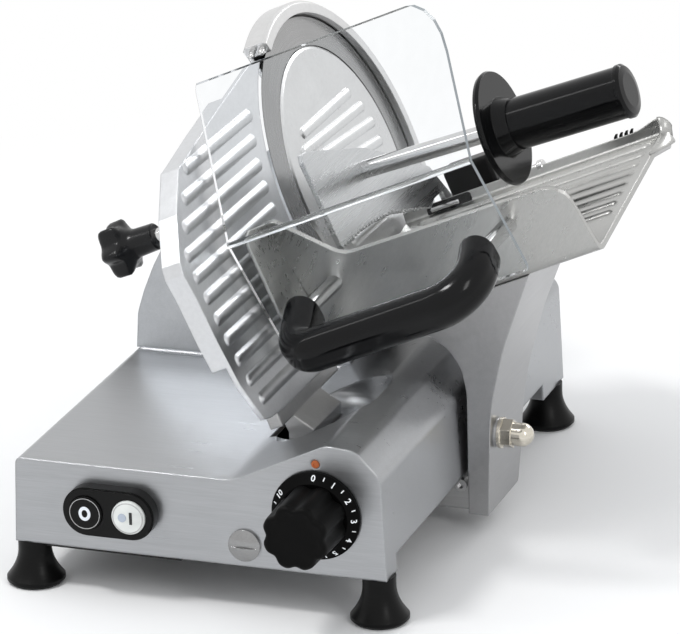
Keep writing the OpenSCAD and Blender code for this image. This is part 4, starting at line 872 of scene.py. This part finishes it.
def make_slide_block():
    """Black block on the pusher's sleeve, behind the tray."""
    rings = []
    for n, inset in BLOCK_LEVELS:
        high, front, back = BLOCK_HIGH - inset, BLOCK_FRONT + inset, BLOCK_BACK - inset
        outline = ((front, BLOCK_LOW), (back, BLOCK_LOW), (back, high), (front, high))
        rings.append([on_blade(y, v, n) for y, v in rounded(outline, (0, 0, BLOCK_CORNER, BLOCK_CORNER))])
    slot_piece("slide_block", lofted(rings), "pusher_slide", "black_plastic")


BEND_Y, BEND_V, BEND_R = -257.0, 20.0, 2.4
BEND_N = (5.35, 210.95)


def make_guard_bend():
    """Rounded bend of the clear sheet, which catches the light as one line."""
    form = lofted([
        [on_blade(BEND_Y + BEND_R * math.cos(a), BEND_V + BEND_R * math.sin(a), n) for a in turns(20)]
        for n in BEND_N
    ])
    bend = clear_sheet("clear_bend", (0.93, 0.95, 0.96, 1), 1.45)
    mesh_piece("guard_bend", form, bend, "carriage", "clear_sheet", smooth=True, sharp=40)


EDGE_OUT = (0.03, 0.16)  # how far the band's inner and outer side stand off the sheet
SAME_WAY = 0.98  # the directions of the sheet's two flat parts agree less than this
CUT_TILT = 0.2  # a cut edge is square to one of the flat parts within this


def flat_directions(form):
    """Directions of the sheet's two flat parts, the largest first."""
    areas = {}
    for face in form.faces:
        key = tuple(round(c, 1) for c in face.normal)
        areas.setdefault(key, [0.0, face.normal.copy()])
        areas[key][0] += face.calc_area()
    largest = sorted(areas.values(), key=lambda pair: -pair[0])
    first = largest[0][1]
    return first, next(normal for _, normal in largest if abs(normal.dot(first)) < SAME_WAY)


def make_guard_edges():
    """Bands on the clear sheet's cut edges, darker than its faces: painted shade for the dark look that light
    gives cut acrylic.
    """
    form = bmesh.new()
    form.from_mesh(frame["nodes"]["hand_guard"].data)
    bmesh.ops.remove_doubles(form, verts=form.verts, dist=1e-6)
    flats = flat_directions(form)
    cut = [f for f in form.faces if min(abs(f.normal.dot(d)) for d in flats) < CUT_TILT]
    chosen = set(cut)
    verts = sorted({v for f in cut for v in f.verts}, key=lambda v: v.index)
    index = {v: k for k, v in enumerate(verts)}
    low, high = cad_box
    points = []
    for reach in EDGE_OUT:
        for v in verts:
            out = sum((f.normal for f in v.link_faces if f in chosen), Vector()).normalized()
            spot = v.co + out * reach * MM
            points.append(Vector(min(max(c, a), b) for c, a, b in zip(spot, low, high)))
    size = len(verts)
    faces = []
    for f in cut:
        ring = [index[v] for v in f.verts]
        faces += [tuple(size + k for k in ring), tuple(reversed(ring))]
        for loop in f.loops:
            if sum(g in chosen for g in loop.edge.link_faces) == 1:
                a, b = index[loop.vert], index[loop.link_loop_next.vert]
                faces.append((a, b, b + size, a + size))
    form.free()
    # painted shade: grey band colour that stands in for the dark look of the sheet's cut edges
    edge = plastic("sheet_edge_painted_shade", (0.24, 0.27, 0.29, 1), 0.2, 0.001, 1200.0, 0)
    mesh_piece("guard_edge_painted_shade", (points, faces), edge, "carriage", "clear_sheet")


scene.view_settings.view_transform = "Standard"
make_camera()
make_world()
make_stage()
made_materials = dress_frame()
make_switch_marks()
make_dial_marks()
make_cover_screws()
make_tray_lip()
make_tray_teeth()
make_tray_catch()
make_wall_flange()
make_slide_block()
make_dial_knob()
make_star_knob()
make_guard_bend()
make_guard_edges()
